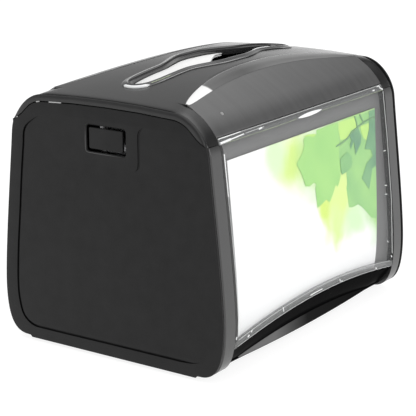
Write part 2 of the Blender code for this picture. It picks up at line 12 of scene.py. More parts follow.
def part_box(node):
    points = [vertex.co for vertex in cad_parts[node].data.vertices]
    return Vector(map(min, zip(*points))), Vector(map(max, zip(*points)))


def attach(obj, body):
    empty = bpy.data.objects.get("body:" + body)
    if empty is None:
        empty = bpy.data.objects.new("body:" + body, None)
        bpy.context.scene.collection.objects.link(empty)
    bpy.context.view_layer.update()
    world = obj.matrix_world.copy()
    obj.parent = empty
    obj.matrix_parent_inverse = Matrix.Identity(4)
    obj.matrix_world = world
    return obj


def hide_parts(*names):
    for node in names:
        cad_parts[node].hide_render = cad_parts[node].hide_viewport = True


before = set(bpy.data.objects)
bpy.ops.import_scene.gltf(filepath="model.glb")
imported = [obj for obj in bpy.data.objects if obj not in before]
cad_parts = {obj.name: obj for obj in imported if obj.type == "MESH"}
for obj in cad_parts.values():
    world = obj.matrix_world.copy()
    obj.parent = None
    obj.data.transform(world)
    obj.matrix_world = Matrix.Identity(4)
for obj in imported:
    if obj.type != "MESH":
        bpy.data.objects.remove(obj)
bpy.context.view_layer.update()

MM = 0.001

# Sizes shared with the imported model
HALF_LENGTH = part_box("door_panel")[0].x / -MM
SHELL_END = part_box("top_cover")[1].x / MM
END_PLATE = 1.3  # thickness of the door and the end panel
PANEL_HALF = 88.2  # half the length between the two hoops
SEAM = 128.0  # height at which the cover sits on the body
GAP = 0.3
HOOD_LOW = 130.9  # lower edge of the glossy hood
ABOVE_ALL = 170.0  # higher than any piece
BODY_BOTTOM = 2.6
COVER_THICK = 2.6
CROWN_HEIGHT, DOME_FALL, DOME_CROSS = 155.0, 9.3, 1440.0
ARCH_TOP, ARCH_FALL, ARCH_HALF = 24.3, 7.5, 87.0
CREASE_HALF = 88.0
GRIP_HALF = 72.5
SLOT_HALF = 75.0
HINGE_X, HINGE_Z = -97.4, 4.9
BUTTON_HALF_WIDTH, BUTTON_LOW, BUTTON_HIGH = 11.3, 118.6, 130.3
WELL_HALF_WIDTH, WELL_LOW, WELL_HIGH, WELL_RADIUS = 13.2, 116.9, 131.5, 1.6
DOOR_LIP = (57.0, 1.4)
CARD_HALF, CARD_TOP, CARD_INSET, CARD_THICK = 79.5, 117.3, 2.9, 0.6
WINDOW_TOP, BEAD_LOW = 130.4, 127.2

# The side of the cross-section, from the base up, as (y, z)
CORNER = ((60.0, BODY_BOTTOM), (70.5, BODY_BOTTOM), (75.0, 11.0), (75.0, 31.5))
SIDE = ((75.0, 31.5), (75.0, 50.0), (68.4, 102.0), (66.4, 122.0))
SHOULDER = ((66.4, 122.0), (65.6, 130.5), (57.5, 138.7), (52.0, 142.1))
HOOD_TOP = (17.0, 163.66)
END_SHOULDER = ((66.4, 122.0), (65.4, 131.5), (57.5, 142.2), (46.5, 144.1))
END_CROWN = (0.0, 145.7)


# ---------------------------------------------------------------- shape formulas

def bezier(points, steps):
    """A cubic curve through the first and last of four points."""
    result = []
    for i in range(steps + 1):
        t = i / steps
        weights = ((1 - t) ** 3, 3 * t * (1 - t) ** 2, 3 * t * t * (1 - t), t ** 3)
        result.append(tuple(sum(w * p[k] for w, p in zip(weights, points)) for k in (0, 1)))
    return result


FINE_SIDE = bezier(CORNER, 24) + bezier(SIDE, 24)[1:] + bezier(SHOULDER, 24)[1:] + [HOOD_TOP]


def parallel(points, inset):
    """The polyline moved inward by inset."""
    moved = []
    for i, (y, z) in enumerate(points):
        before = points[max(i - 1, 0)]
        after = points[min(i + 1, len(points) - 1)]
        dy, dz = after[0] - before[0], after[1] - before[1]
        length = math.hypot(dy, dz)
        moved.append((y - inset * dz / length, z + inset * dy / length))
    return moved


def resample(points, count):
    """The polyline's points, spread evenly along it."""
    lengths = [0.0]
    for a, b in zip(points, points[1:]):
        lengths.append(lengths[-1] + math.dist(a, b))
    result, k = [], 0
    for i in range(count):
        goal = lengths[-1] * i / (count - 1)
        while k < len(points) - 2 and lengths[k + 1] < goal:
            k += 1
        t = (goal - lengths[k]) / (lengths[k + 1] - lengths[k])
        result.append(tuple(a + (b - a) * t for a, b in zip(points[k], points[k + 1])))
    return result


def wall(inset, low, high, count):
    """count points of the side, moved inward by inset, between two heights."""
    points = parallel(FINE_SIDE, inset)
    kept = []
    for (y0, z0), (y1, z1) in zip(points, points[1:]):
        for height in (low, high):
            if z0 < height < z1:
                kept.append((y0 + (y1 - y0) * (height - z0) / (z1 - z0), height))
        if low <= z1 <= high:
            kept.append((y1, z1))
    if low <= points[0][1]:
        kept.append(points[0])
    kept = sorted(kept, key=lambda point: point[1])
    return resample(kept, count)


def wall_y(inset, z):
    return wall(inset, z, z + 1.0, 2)[0][0]


def dome_height(x, y):
    return CROWN_HEIGHT - DOME_FALL * (x / HALF_LENGTH) ** 2 - y * y / DOME_CROSS


def arch_height(x):
    return ARCH_TOP - ARCH_FALL * (x / ARCH_HALF) ** 2


def crease(x, inset):
    """Where the hood's slope, moved inward by inset, meets the dome at station x."""
    (y0, z0), (y1, z1) = parallel([SHOULDER[-1], HOOD_TOP], inset)
    low, high = 0.0, 1.0
    for _ in range(40):
        t = (low + high) / 2
        y, z = y0 + (y1 - y0) * t, z0 + (z1 - z0) * t
        if z < dome_height(x, y):
            low = t
        else:
            high = t
    return y, z


def slot_point(angle, out):
    """A point of the slot's rim: out runs from 0 on its inner edge to 1 on its outer edge."""
    half_length = SLOT_HALF + 4.5 * out
    end_width, middle_width = 7.0 + 4.6 * out, 13.5 + 6.0 * out
    x = -half_length * math.cos(angle)
    blend = min(max((41.0 - abs(x)) / 33.0, 0.0), 1.0)
    width = end_width + (middle_width - end_width) * blend * blend * (3 - 2 * blend)
    return x, math.copysign(width * (1 - (abs(x) / half_length) ** 12) ** 0.5, math.sin(angle))


def stations(low, high, count):
    """count evenly spaced values from low to high."""
    return [low + (high - low) * i / (count - 1) for i in range(count)]


def sided(side, outline):
    """An outline of (y, z) on the rear (side 1) or turned over to the front (side -1)."""
    return [(side * y, z) for y, z in outline]


def both_sides(half):
    return half + [(-y, z) for y, z in reversed(half) if y > 0.001]


# ---------------------------------------------------------------- mesh helpers

def finish_mesh(obj, body, sharp=35.0):
    """Shade and let the piece ride on its body."""
    obj.data.shade_smooth()
    obj.data.set_sharp_from_angle(angle=math.radians(sharp))
    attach(obj, body)
    return obj


def added(obj):
    """obj, linked to the scene."""
    bpy.context.scene.collection.objects.link(obj)
    return obj


def new_object(name, mesh, material):
    mesh.materials.clear()
    mesh.materials.append(material)
    return added(bpy.data.objects.new(name, mesh))


def evaluated_mesh(obj):
    """A new mesh of obj with its curve settings or modifiers applied."""
    bpy.context.view_layer.update()
    return bpy.data.meshes.new_from_object(obj.evaluated_get(bpy.context.evaluated_depsgraph_get()))


def from_bmesh(name, bm, material):
    bmesh.ops.remove_doubles(bm, verts=bm.verts, dist=0.0000005)
    bmesh.ops.recalc_face_normals(bm, faces=bm.faces)
    mesh = bpy.data.meshes.new(name)
    bm.to_mesh(mesh)
    bm.free()
    return new_object(name, mesh, material)


def add_cap(bm, row, hollow):
    """Close one end; a hollow row is an outer skin and then, backwards, an inner skin of as many points."""
    if hollow:
        last = len(row) - 1
        for k in range(len(row) // 2 - 1):
            bm.faces.new((row[k], row[k + 1], row[last - k - 1], row[last - k]))
    else:
        bm.faces.new(row)


def loft(name, rings, material, around=False, hollow=False):
    """Quads through closed rings of (x, y, z); around joins the last ring to the first."""
    bm = bmesh.new()
    rows = [[bm.verts.new((x * MM, y * MM, z * MM)) for x, y, z in ring] for ring in rings]
    pairs = list(zip(rows, rows[1:]))
    if around:
        pairs.append((rows[-1], rows[0]))
    count = len(rows[0])
    for row, following in pairs:
        for k in range(count):
            j = (k + 1) % count
            bm.faces.new((row[k], row[j], following[j], following[k]))
    if not around:
        add_cap(bm, rows[0], hollow)
        add_cap(bm, rows[-1], hollow)
    return from_bmesh(name, bm, material)


def loft_x(name, sections, material, hollow=False):
    """sections is a list of (x, closed outline of (y, z))."""
    return loft(name, [[(x, y, z) for y, z in outline] for x, outline in sections], material, hollow=hollow)


def joined(name, objects, material):
    bm = bmesh.new()
    for obj in objects:
        bm.from_mesh(obj.data)
        bpy.data.objects.remove(obj)
    mesh = bpy.data.meshes.new(name)
    bm.to_mesh(mesh)
    bm.free()
    return new_object(name, mesh, material)


OUTLINE_TURNS = {"X": (math.pi / 2, 0.0, math.pi / 2), "Y": (math.pi / 2, 0.0, 0.0), "Z": (0.0, 0.0, 0.0)}


def plate(name, axis, outlines, low, high, edge, material):
    """A flat outline extruded along axis, its edges rounded to the radius edge."""
    data = bpy.data.curves.new(name, "CURVE")
    data.dimensions = "2D"
    data.fill_mode = "BOTH"
    data.extrude = ((high - low) / 2 - edge) * MM
    data.bevel_depth = edge * MM
    data.bevel_resolution = 3
    data.offset = -edge * MM
    for outline in outlines:
        spline = data.splines.new("POLY")
        spline.points.add(len(outline) - 1)
        for point, (u, v) in zip(spline.points, outline):
            point.co = (u * MM, v * MM, 0.0, 1.0)
        spline.use_cyclic_u = True
    curve = bpy.data.objects.new(name, data)
    middle = (low + high) / 2 * MM
    curve.location = {"X": (middle, 0, 0), "Y": (0, middle, 0), "Z": (0, 0, middle)}[axis]
    curve.rotation_euler = OUTLINE_TURNS[axis]
    return mesh_of_curve(curve, name, material)


def tube(name, points, radius, material, tapered=False, sides=3):
    """A round bar along points; tapered thins it to nothing at both ends."""
    data = bpy.data.curves.new(name, "CURVE")
    data.dimensions = "3D"
    data.bevel_depth = radius * MM
    data.bevel_resolution = sides
    data.use_fill_caps = True
    spline = data.splines.new("POLY")
    spline.points.add(len(points) - 1)
    taper = min(6.0, len(points) / 7)
    for i, (point, place) in enumerate(zip(spline.points, points)):
        point.co = (*(v * MM for v in place), 1.0)
        if tapered:
            point.radius = min(max(min(i, len(points) - 1 - i) / taper, 0.05), 1.0)
    return mesh_of_curve(bpy.data.objects.new(name, data), name, material)


def thin_line(name, path, radius, material, body="housing", tapered=False, sides=3):
    """A finished tube along path, raised from the surface that it runs on."""
    finish_mesh(tube(name, path, radius, material, tapered, sides), body, 60.0)


def mesh_of_curve(curve, name, material):
    """A mesh object in the curve's place."""
    mesh = evaluated_mesh(added(curve))
    mesh.transform(curve.matrix_world)
    bm = bmesh.new()
    bm.from_mesh(mesh)
    bpy.data.objects.remove(curve)
    bpy.data.meshes.remove(mesh)
    return from_bmesh(name, bm, material)


def box(name, low, high, edge, material):
    """A box with edges rounded to the radius edge."""
    bm = bmesh.new()
    bmesh.ops.create_cube(bm, size=1.0)
    for vertex in bm.verts:
        vertex.co = [((a + b) / 2 + c * (b - a)) * MM for c, a, b in zip(vertex.co, low, high)]
    bmesh.ops.bevel(bm, geom=bm.edges[:], offset=edge * MM, segments=3, profile=0.5, affect="EDGES")
    return from_bmesh(name, bm, material)


def cylinder(name, axis, center, radius, low, high, material, sides=32):
    bm = bmesh.new()
    bmesh.ops.create_cone(bm, cap_ends=True, segments=sides, radius1=radius * MM, radius2=radius * MM,
                          depth=(high - low) * MM)
    turn = {"X": Matrix.Rotation(math.pi / 2, 4, "Y"), "Y": Matrix.Rotation(-math.pi / 2, 4, "X"),
            "Z": Matrix.Identity(4)}[axis]
    place = list(center)
    place.insert("XYZ".index(axis), (low + high) / 2)
    bm.transform(Matrix.Translation([v * MM for v in place]) @ turn)
    return from_bmesh(name, bm, material)


def carve(target, tool):
    """Cut tool out of target for good."""
    modifier = target.modifiers.new("carve", "BOOLEAN")
    modifier.operation = "DIFFERENCE"
    modifier.object = tool
    modifier.solver = "EXACT"
    cut = evaluated_mesh(target)
    target.modifiers.clear()
    target.data = cut
    bpy.data.objects.remove(tool)


# ---------------------------------------------------------------- materials

def tree_of(name, color, roughness, metallic=0.0, ior=1.5):
    material = bpy.data.materials.new(name)
    material.use_nodes = True
    tree = material.node_tree
    shader = tree.nodes["Principled BSDF"]
    shader.inputs["Base Color"].default_value = (*color, 1.0)
    shader.inputs["Roughness"].default_value = roughness
    shader.inputs["Metallic"].default_value = metallic
    shader.inputs["IOR"].default_value = ior
    return material, tree, shader


def noise(tree, scale, detail=3.0, stretch=(1.0, 1.0, 1.0)):
    """Noise over the object's own coordinates; scale is in cells per metre."""
    place = tree.nodes.new("ShaderNodeTexCoord")
    mapping = tree.nodes.new("ShaderNodeMapping")
    mapping.inputs["Scale"].default_value = stretch
    texture = tree.nodes.new("ShaderNodeTexNoise")
    texture.inputs["Scale"].default_value = scale
    texture.inputs["Detail"].default_value = detail
    tree.links.new(place.outputs["Object"], mapping.inputs["Vector"])
    tree.links.new(mapping.outputs["Vector"], texture.inputs["Vector"])
    return texture.outputs["Fac"]


def map_range(tree, value, from_low, from_high, low=0.0, high=1.0, smooth=False):
    """value, mapped so that from_low gives low and from_high gives high."""
    node = tree.nodes.new("ShaderNodeMapRange")
    if smooth:
        node.interpolation_type = "SMOOTHSTEP"
    ends = {"From Min": from_low, "From Max": from_high, "To Min": low, "To Max": high}
    for name, end in ends.items():
        node.inputs[name].default_value = end
    tree.links.new(value, node.inputs["Value"])
    return node.outputs["Result"]


def spread(tree, value, low, high):
    """A noise value mapped to a range."""
    return map_range(tree, value, 0.3, 0.7, low, high)


def coordinate(tree, axis, kind="Object"):
    """X, Y or Z of the shaded point; for the world, of the direction looked in."""
    place = tree.nodes.new("ShaderNodeTexCoord")
    split = tree.nodes.new("ShaderNodeSeparateXYZ")
    tree.links.new(place.outputs[kind], split.inputs["Vector"])
    return split.outputs[axis]


def color_mix(tree, factor, first, second):
    node = tree.nodes.new("ShaderNodeMix")
    node.data_type = "RGBA"
    sockets = [socket for socket in node.inputs if socket.type == "RGBA"]
    for socket, value in zip(sockets, (first, second)):
        if isinstance(value, tuple):
            socket.default_value = (*value, 1.0)
        else:
            tree.links.new(value, socket)
    tree.links.new(factor, node.inputs["Factor"])
    return [socket for socket in node.outputs if socket.type == "RGBA"][0]


def bump(tree, shader, height, strength, distance):
    node = tree.nodes.new("ShaderNodeBump")
    node.inputs["Strength"].default_value = strength
    node.inputs["Distance"].default_value = distance
    tree.links.new(height, node.inputs["Height"])
    tree.links.new(node.outputs["Normal"], shader.inputs["Normal"])


def moulded(name, color, roughness, ior, grain=1300.0, depth=0.1, mottle=0.06, stretch=(1, 1, 1), soft=0.03):
    """Moulded plastic: fine grain in the surface, a faint mottle in colour and gloss."""
    material, tree, shader = tree_of(name, color, roughness, ior=ior)
    patches = noise(tree, 120.0, 4.0, stretch)
    dark = tuple(c * (1 - mottle) for c in color)
    light = tuple(c * (1 + mottle) for c in color)
    tree.links.new(color_mix(tree, spread(tree, patches, 0.0, 1.0), dark, light), shader.inputs["Base Color"])
    wear = noise(tree, 45.0, 5.0)
    tree.links.new(spread(tree, wear, roughness - soft, roughness + soft), shader.inputs["Roughness"])
    bump(tree, shader, noise(tree, grain, 2.0), depth, 0.0002)
    return material


def clear_plastic(name, color, alpha, roughness):
    material, tree, shader = tree_of(name, color, roughness)
    shader.inputs["Alpha"].default_value = alpha
    scuffs = noise(tree, 60.0, 6.0, (1.0, 1.0, 0.2))
    tree.links.new(spread(tree, scuffs, roughness * 0.7, roughness * 1.5), shader.inputs["Roughness"])
    return material


def along_x(tree, stops):
    """A factor that follows the object's length: stops are (x in millimetres, value)."""
    share = map_range(tree, coordinate(tree, "X"), -HALF_LENGTH * MM, HALF_LENGTH * MM)
    curve = tree.nodes.new("ShaderNodeFloatCurve")
    tree.links.new(share, curve.inputs["Value"])
    points = curve.mapping.curves[0].points
    while len(points) < len(stops):
        points.new(0.5, 0.5)
    for point, (x, value) in zip(points, stops):
        point.location = ((x + HALF_LENGTH) / (2 * HALF_LENGTH), value)
        point.handle_type = "VECTOR"
    curve.mapping.update()
    return curve.outputs["Value"]


def hood_plastic():
    """Glossy grey with painted light that pales it towards the crown, and faint streaks down the slope."""
    material, tree, shader = tree_of("gloss_grey", (0.09, 0.09, 0.09), 0.13, ior=1.75)
    # Painted light: the colour pales with height towards the crown.
    crown_painted_light = map_range(tree, coordinate(tree, "Z"), 134.0 * MM, 152.0 * MM)
    body = color_mix(tree, crown_painted_light, (0.082, 0.082, 0.0825), (0.118, 0.118, 0.1185))
    streaks = spread(tree, noise(tree, 60.0, 4.0, (4.0, 0.3, 0.3)), 0.0, 0.22)
    tree.links.new(color_mix(tree, streaks, body, (0.15, 0.15, 0.15)), shader.inputs["Base Color"])
    bump(tree, shader, noise(tree, 500.0, 2.0), 0.03, 0.0002)
    return material


MATTE_GREY = moulded("matte_grey", (0.016, 0.016, 0.0162), 0.2, 1.7, depth=0.05)
# The hood's glossy grey, with painted light towards the crown.
GLOSS_GREY = hood_plastic()
EDGE_GREY = moulded("edge_grey", (0.05, 0.05, 0.0505), 0.07, 1.9, 500.0, 0.01, 0.05)
PANEL_GREY = moulded("panel_grey", (0.14, 0.14, 0.1405), 0.45, 1.3, mottle=0.03)
RIM_GREY = moulded("rim_grey", (0.03, 0.03, 0.0305), 0.10, 1.8, 500.0, 0.02, 0.05)
CHARCOAL = moulded("charcoal", (0.0085, 0.0085, 0.0087), 0.44, 1.32, depth=0.25, mottle=0.18)
# A lighter copy of charcoal: painted light on the lintel's upward-leaning face.
LIP_CHARCOAL_PAINTED_LIGHT = moulded("lip_charcoal_painted_light", (0.014, 0.014, 0.0142), 0.34, 1.5, mottle=0.1)
BLACK = moulded("gloss_black", (0.003, 0.003, 0.0031), 0.2, 1.015, 700.0, 0.03, 0.1)
RUBBER = moulded("rubber", (0.012, 0.012, 0.012), 0.72, 1.3, 1100.0, 0.3, 0.15)
CLEAR = clear_plastic("clear_pane", (0.92, 0.94, 0.94), 0.035, 0.04)
CLEAR_EDGE = clear_plastic("clear_edge", (0.30, 0.305, 0.305), 0.35, 0.10)
# A near-black clear plastic for painted shade at the window's end.
CLEAR_PAINTED_SHADE = clear_plastic("clear_painted_shade", (0.02, 0.02, 0.02), 0.8, 0.12)
# A pale grey for painted highlights on the slot's rim, the crease and the gap above the door.
RIM_PAINTED_HIGHLIGHT = moulded("rim_painted_highlight", (0.42, 0.42, 0.42), 0.12, 1.6, 500.0, 0.02)
STUD_GREY = moulded("stud_grey", (0.3, 0.3, 0.3), 0.3, 1.5, 500.0, 0.02)
# A lighter charcoal for the painted highlight along the button's well.
WELL_HIGHLIGHT = moulded("well_highlight", (0.06, 0.06, 0.0605), 0.4, 1.4)
# Bright clear plastics for painted highlights on the window, the slot's rim and the thumb hold.
CLEAR_HIGHLIGHT_LINE = clear_plastic("clear_highlight_line", (0.80, 0.81, 0.81), 0.45, 0.12)
CLEAR_GLINT = clear_plastic("clear_glint", (0.96, 0.97, 0.97), 0.95, 0.12)
GREEN_LINE = clear_plastic("clear_green_line", (0.48, 0.56, 0.36), 0.55, 0.12)


def grip_painted_sheen():
    """Black with a painted reflection: a soft grey sheen painted towards one end of the grip's face."""
    material, tree, shader = tree_of("grip_painted_sheen", (0.003, 0.003, 0.003), 0.25, ior=1.015)
    # Painted reflection: grey towards the door end, fading to black by the middle.
    stops = ((-100.0, 0.5), (-66.0, 0.8), (-35.0, 0.75), (-18.0, 0.35), (0.0, 0.06), (100.0, 0.0))
    color = color_mix(tree, along_x(tree, stops), (0.003, 0.003, 0.003), (0.2, 0.2, 0.2))
    tree.links.new(color, shader.inputs["Base Color"])
    bump(tree, shader, noise(tree, 700.0, 2.0), 0.03, 0.0002)
    return material


def painted_highlight_edge():
    """The strip beside the dome, with a painted highlight: white at the door end, grey along the middle,
    paler towards the far end.
    """
    material, tree, shader = tree_of("edge_painted_highlight", (0.09, 0.09, 0.09), 0.08, ior=1.6)
    # Painted reflection: white up to x = -60, then grey, paler again towards the far end.
    stops = ((-100.0, 1.0), (-60.0, 1.0), (-59.6, 0.03), (-20.0, 0.0), (5.0, 0.1), (60.0, 0.16), (100.0, 0.1))
    color = color_mix(tree, along_x(tree, stops), (0.085, 0.085, 0.085), (0.93, 0.93, 0.925))
    tree.links.new(color, shader.inputs["Base Color"])
    bump(tree, shader, noise(tree, 500.0, 2.0), 0.01, 0.0001)
    return material


GRIP_PAINTED_SHEEN = grip_painted_sheen()
EDGE_PAINTED_HIGHLIGHT = painted_highlight_edge()


def steel():
    material, tree, shader = tree_of("steel", (0.52, 0.52, 0.53), 0.3, 1.0)
    brushed = noise(tree, 700.0, 3.0, (1.0, 1.0, 0.08))
    tree.links.new(spread(tree, brushed, 0.22, 0.42), shader.inputs["Roughness"])
    bump(tree, shader, brushed, 0.06, 0.0001)
    return material


def tissue():
    """Soft paper with an embossed dot pattern."""
    material, tree, shader = tree_of("tissue", (0.92, 0.92, 0.915), 0.92)
    shader.inputs["Sheen Weight"].default_value = 0.25
    color = color_mix(tree, noise(tree, 1600.0, 4.0), (0.86, 0.86, 0.855), (0.95, 0.95, 0.945))
    tree.links.new(color, shader.inputs["Base Color"])
    bump(tree, shader, noise(tree, 520.0, 4.0), 0.25, 0.0003)
    return material


STEEL = steel()
TISSUE = tissue()


def nearness(tree, place, center, stretch):
    """1 near center, fading to 0 beyond 1.2 times stretch, both in millimetres as (x, z)."""
    mapping = tree.nodes.new("ShaderNodeMapping")
    mapping.vector_type = "TEXTURE"
    mapping.inputs["Location"].default_value = (center[0] * MM, 0.0, center[1] * MM)
    mapping.inputs["Scale"].default_value = (stretch[0] * MM, 10.0, stretch[1] * MM)
    length = tree.nodes.new("ShaderNodeVectorMath")
    length.operation = "LENGTH"
    tree.links.new(place, mapping.inputs["Vector"])
    tree.links.new(mapping.outputs["Vector"], length.inputs[0])
    return map_range(tree, length.outputs["Value"], 1.2, 0.2, smooth=True)


CARD_WASHES = (
    ((-14.0, 106.0), (24.0, 24.0), (0.62, 0.80, 0.20)),
    ((-32.0, 110.0), (16.0, 16.0), (0.66, 0.84, 0.52)),
    ((14.0, 100.0), (30.0, 30.0), (0.44, 0.72, 0.18)),
    ((56.0, 100.0), (44.0, 50.0), (0.36, 0.66, 0.17)),
    ((31.0, 76.0), (22.0, 30.0), (0.68, 0.86, 0.27)),
    ((16.0, 66.0), (9.0, 14.0), (0.62, 0.80, 0.14)),
    ((27.0, 58.0), (6.0, 12.0), (0.66, 0.86, 0.30)),
    ((45.0, 57.0), (16.0, 14.0), (0.62, 0.84, 0.50)),
    ((74.0, 58.0), (16.0, 22.0), (0.36, 0.66, 0.20)))


def printed_card(mirror):
    """White card with a soft green wash towards one top corner and painted shade towards its foot; mirror is
    -1 for the rear card.
    """
    material, tree, shader = tree_of(f"printed_card_{mirror}", (0.93, 0.93, 0.93), 0.5)
    place = tree.nodes.new("ShaderNodeTexCoord").outputs["Object"]
    blur = tree.nodes.new("ShaderNodeTexNoise")
    blur.inputs["Scale"].default_value = 38.0
    blur.inputs["Detail"].default_value = 3.0
    tree.links.new(place, blur.inputs["Vector"])
    shift = tree.nodes.new("ShaderNodeVectorMath")
    shift.operation = "MULTIPLY_ADD"
    shift.inputs[1].default_value = (0.03, 0.03, 0.03)
    tree.links.new(blur.outputs["Color"], shift.inputs[0])
    tree.links.new(place, shift.inputs[2])
    back = tree.nodes.new("ShaderNodeVectorMath")
    back.operation = "SUBTRACT"
    back.inputs[1].default_value = (0.015, 0.015, 0.015)
    tree.links.new(shift.outputs["Vector"], back.inputs[0])
    # Painted shade: the card greys towards its foot.
    foot = map_range(tree, coordinate(tree, "Z"), 46.0 * MM, 16.0 * MM)
    color = color_mix(tree, foot, (0.93, 0.93, 0.93), (0.72, 0.725, 0.73))
    for (x, z), stretch, tint in CARD_WASHES:
        factor = nearness(tree, back.outputs["Vector"], (x * mirror, z), stretch)
        color = color_mix(tree, factor, color, tint)
    tree.links.new(color, shader.inputs["Base Color"])
    bump(tree, shader, noise(tree, 900.0, 2.0), 0.03, 0.0001)
    return material


def leaf_print(name, dark, light):
    material, tree, shader = tree_of(name, light, 0.5)
    patches = noise(tree, 55.0, 5.0)
    tree.links.new(color_mix(tree, spread(tree, patches, 0.0, 1.0), dark, light), shader.inputs["Base Color"])
    bump(tree, shader, noise(tree, 900.0, 2.0), 0.03, 0.0001)
    return material


LEAF_LIGHT = leaf_print("leaf_light", (0.30, 0.62, 0.17), (0.36, 0.68, 0.19))
LEAF_MIDDLE = leaf_print("leaf_middle", (0.24, 0.52, 0.18), (0.33, 0.63, 0.20))
LEAF_YELLOW = leaf_print("leaf_yellow", (0.44, 0.72, 0.17), (0.54, 0.80, 0.20))
LEAF_DARK = leaf_print("leaf_dark", (0.10, 0.27, 0.15), (0.19, 0.43, 0.18))
LEAF_SHADE = leaf_print("leaf_shade", (0.17, 0.42, 0.16), (0.26, 0.55, 0.19))
LEAF_STEM = leaf_print("leaf_stem", (0.15, 0.30, 0.15), (0.20, 0.38, 0.18))


# ---------------------------------------------------------------- housing

def cover_section(x, inset, edge_inset):
    """The closed (y, z) outline of the top cover at station x: outer skin, then inner skin."""
    top = crease(x, edge_inset)
    side = [p for p in wall(inset, SEAM, ABOVE_ALL, 80) if p[0] > top[0] + 0.01]
    outer = resample(side + [top], 26)
    for i in range(1, 15):
        y = top[0] * (1 - i / 14)
        outer.append((y, dome_height(x, y)))
    if inset == 0.0:
        outer = rounded_crease(x, outer)
    outer = outer + [(-y, z) for y, z in outer[-2::-1]]
    inner = parallel(outer[::-1], -COVER_THICK)
    inner[0] = (-wall_y(inset + 4.2, SEAM), SEAM)
    inner[-1] = (wall_y(inset + 4.2, SEAM), SEAM)
    return outer + inner


def rounded_crease(x, outer, reach=7.0):
    """Replace the corner between the slope and the dome by a curve."""
    y, z = crease(x, 0.0)
    slope = (SHOULDER[-1][0] - HOOD_TOP[0], SHOULDER[-1][1] - HOOD_TOP[1])
    length = math.hypot(*slope)
    start = (y + reach * slope[0] / length, z + reach * slope[1] / length)
    stop = (y - reach, dome_height(x, y - reach))
    result = []
    for py, pz in outer:
        if stop[0] < py < start[0]:
            t = (start[0] - py) / (start[0] - stop[0])
            curve = ((1 - t) ** 2 * start[1] + 2 * t * (1 - t) * z + t * t * stop[1])
            result.append((py, min(curve, pz)))
        else:
            result.append((py, pz))
    return result


def strip_inset(x):
    """How wide the polished strip along the dome's edge is, as the inset of its inner edge."""
    return 0.35 + 2.1 * max(1.0 - (x / CREASE_HALF) ** 2, 0.0) ** 0.55


def make_cover():
    sections = []
    for x, shrink in ((-SHELL_END, 0.35), (-SHELL_END + 0.35, 0.1), (-SHELL_END + 1.2, 0.0), (-94.0, 0.0),
                      (-91.0, 0.0), (-PANEL_HALF, 0.0)):
        outline = cover_section(x, 0.0, 0.0)
        narrow = 1 - shrink / 65
        sections.append((x, [(y * narrow, z - shrink if z > SEAM + 1 else z) for y, z in outline]))
    middle = [(x, cover_section(x, 2.3, strip_inset(x) + 0.2)) for x in stations(-PANEL_HALF, PANEL_HALF, 45)]
    mirrored_end = [(-x, outline) for x, outline in sections[::-1]]
    cover = loft_x("cover_dome", sections + middle + mirrored_end, MATTE_GREY, hollow=True)
    outline = [slot_point(2 * math.pi * i / 96, 0.7) for i in range(96)]
    carve(cover, plate("slot_cutter", "Z", [outline], 138.0, 160.0, 0.0, MATTE_GREY))
    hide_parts("top_cover")
    finish_mesh(cover, "housing", 28.0)


def edge_ends(x):
    """The lower and upper point of the polished strip between hood and dome, as (y, z)."""
    swell = max(1.0 - (x / CREASE_HALF) ** 2, 0.0) ** 0.5
    y, z = crease(x, 0.0)
    drop = 5.2 * swell
    return (y + drop * 0.85, z - drop * 0.524), crease(x, strip_inset(x))


def make_edge_strip(word, side, material):
    sections = []
    half = PANEL_HALF - 0.8
    for x in stations(-half, half, 121):
        lower, upper = edge_ends(x)
        corner = crease(x, 0.0)
        outline = []
        for t in stations(0.0, 1.0, 9):
            weights = ((1 - t) ** 2, 2 * t * (1 - t), t * t)
            y, z = (sum(w * p[k] for w, p in zip(weights, (lower, corner, upper))) for k in (0, 1))
            outline.append((y + 0.1, z + 0.15))
        outline += [(y - 0.5, z - 0.5) for y, z in outline[::-1]]
        sections.append((x, sided(side, outline)))
    strip_piece = loft_x(f"hood_edge_{word}", sections, material)
    finish_mesh(strip_piece, "housing", 60.0)


def make_hood(word, side):
    sections = []
    for x in stations(-PANEL_HALF + GAP, PANEL_HALF - GAP, 61):
        outer_edge, inner_edge = edge_ends(x)
        face = [p for p in wall(0.0, HOOD_LOW, ABOVE_ALL, 90) if p[0] > outer_edge[0] + 0.05]
        face = resample(face + [outer_edge], 30)
        back = [p for p in wall(2.0, HOOD_LOW, ABOVE_ALL, 60) if p[1] < inner_edge[1] - 1.9]
        back = resample(back + [(inner_edge[0] + 1.5, inner_edge[1] - 1.6)], 12)
        band = [tuple(a + (b - a) * t for a, b in zip(outer_edge, inner_edge)) for t in (0.03, 0.97)]
        foot_y, foot_z = face[0]
        foot = [(foot_y - 0.25, foot_z), (foot_y, foot_z + 0.3)]
        outline = foot + face[1:] + band + [inner_edge] + back[::-1]
        sections.append((x, sided(side, outline)))
    hood = loft_x(f"hood_{word}", sections, GLOSS_GREY)
    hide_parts(f"side_hood_{word}")
    finish_mesh(hood, "housing", 12.0)


def make_slot_rim():
    """The rim around the slot: a rounded bead whose skirt drops through the cover."""
    section = ((0.5, -3.6), (0.1, -3.6), (0.03, -2.0), (0.0, -0.6), (0.04, 0.5), (0.14, 1.1), (0.3, 1.4),
               (0.45, 1.3), (0.62, 0.8), (0.8, 0.6), (0.93, 0.55), (1.0, 0.1), (0.6, 0.1))
    rings = []
    count = 160
    for i in range(count):
        angle = 2 * math.pi * i / count
        ring = []
        for out, up in section:
            x, y = slot_point(angle, out)
            ring.append((x, y, dome_height(x, y) + up))
        rings.append(ring)
    rim = loft("slot_rim", rings, RIM_GREY, around=True)
    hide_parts("slot_bezel")
    finish_mesh(rim, "housing", 50.0)


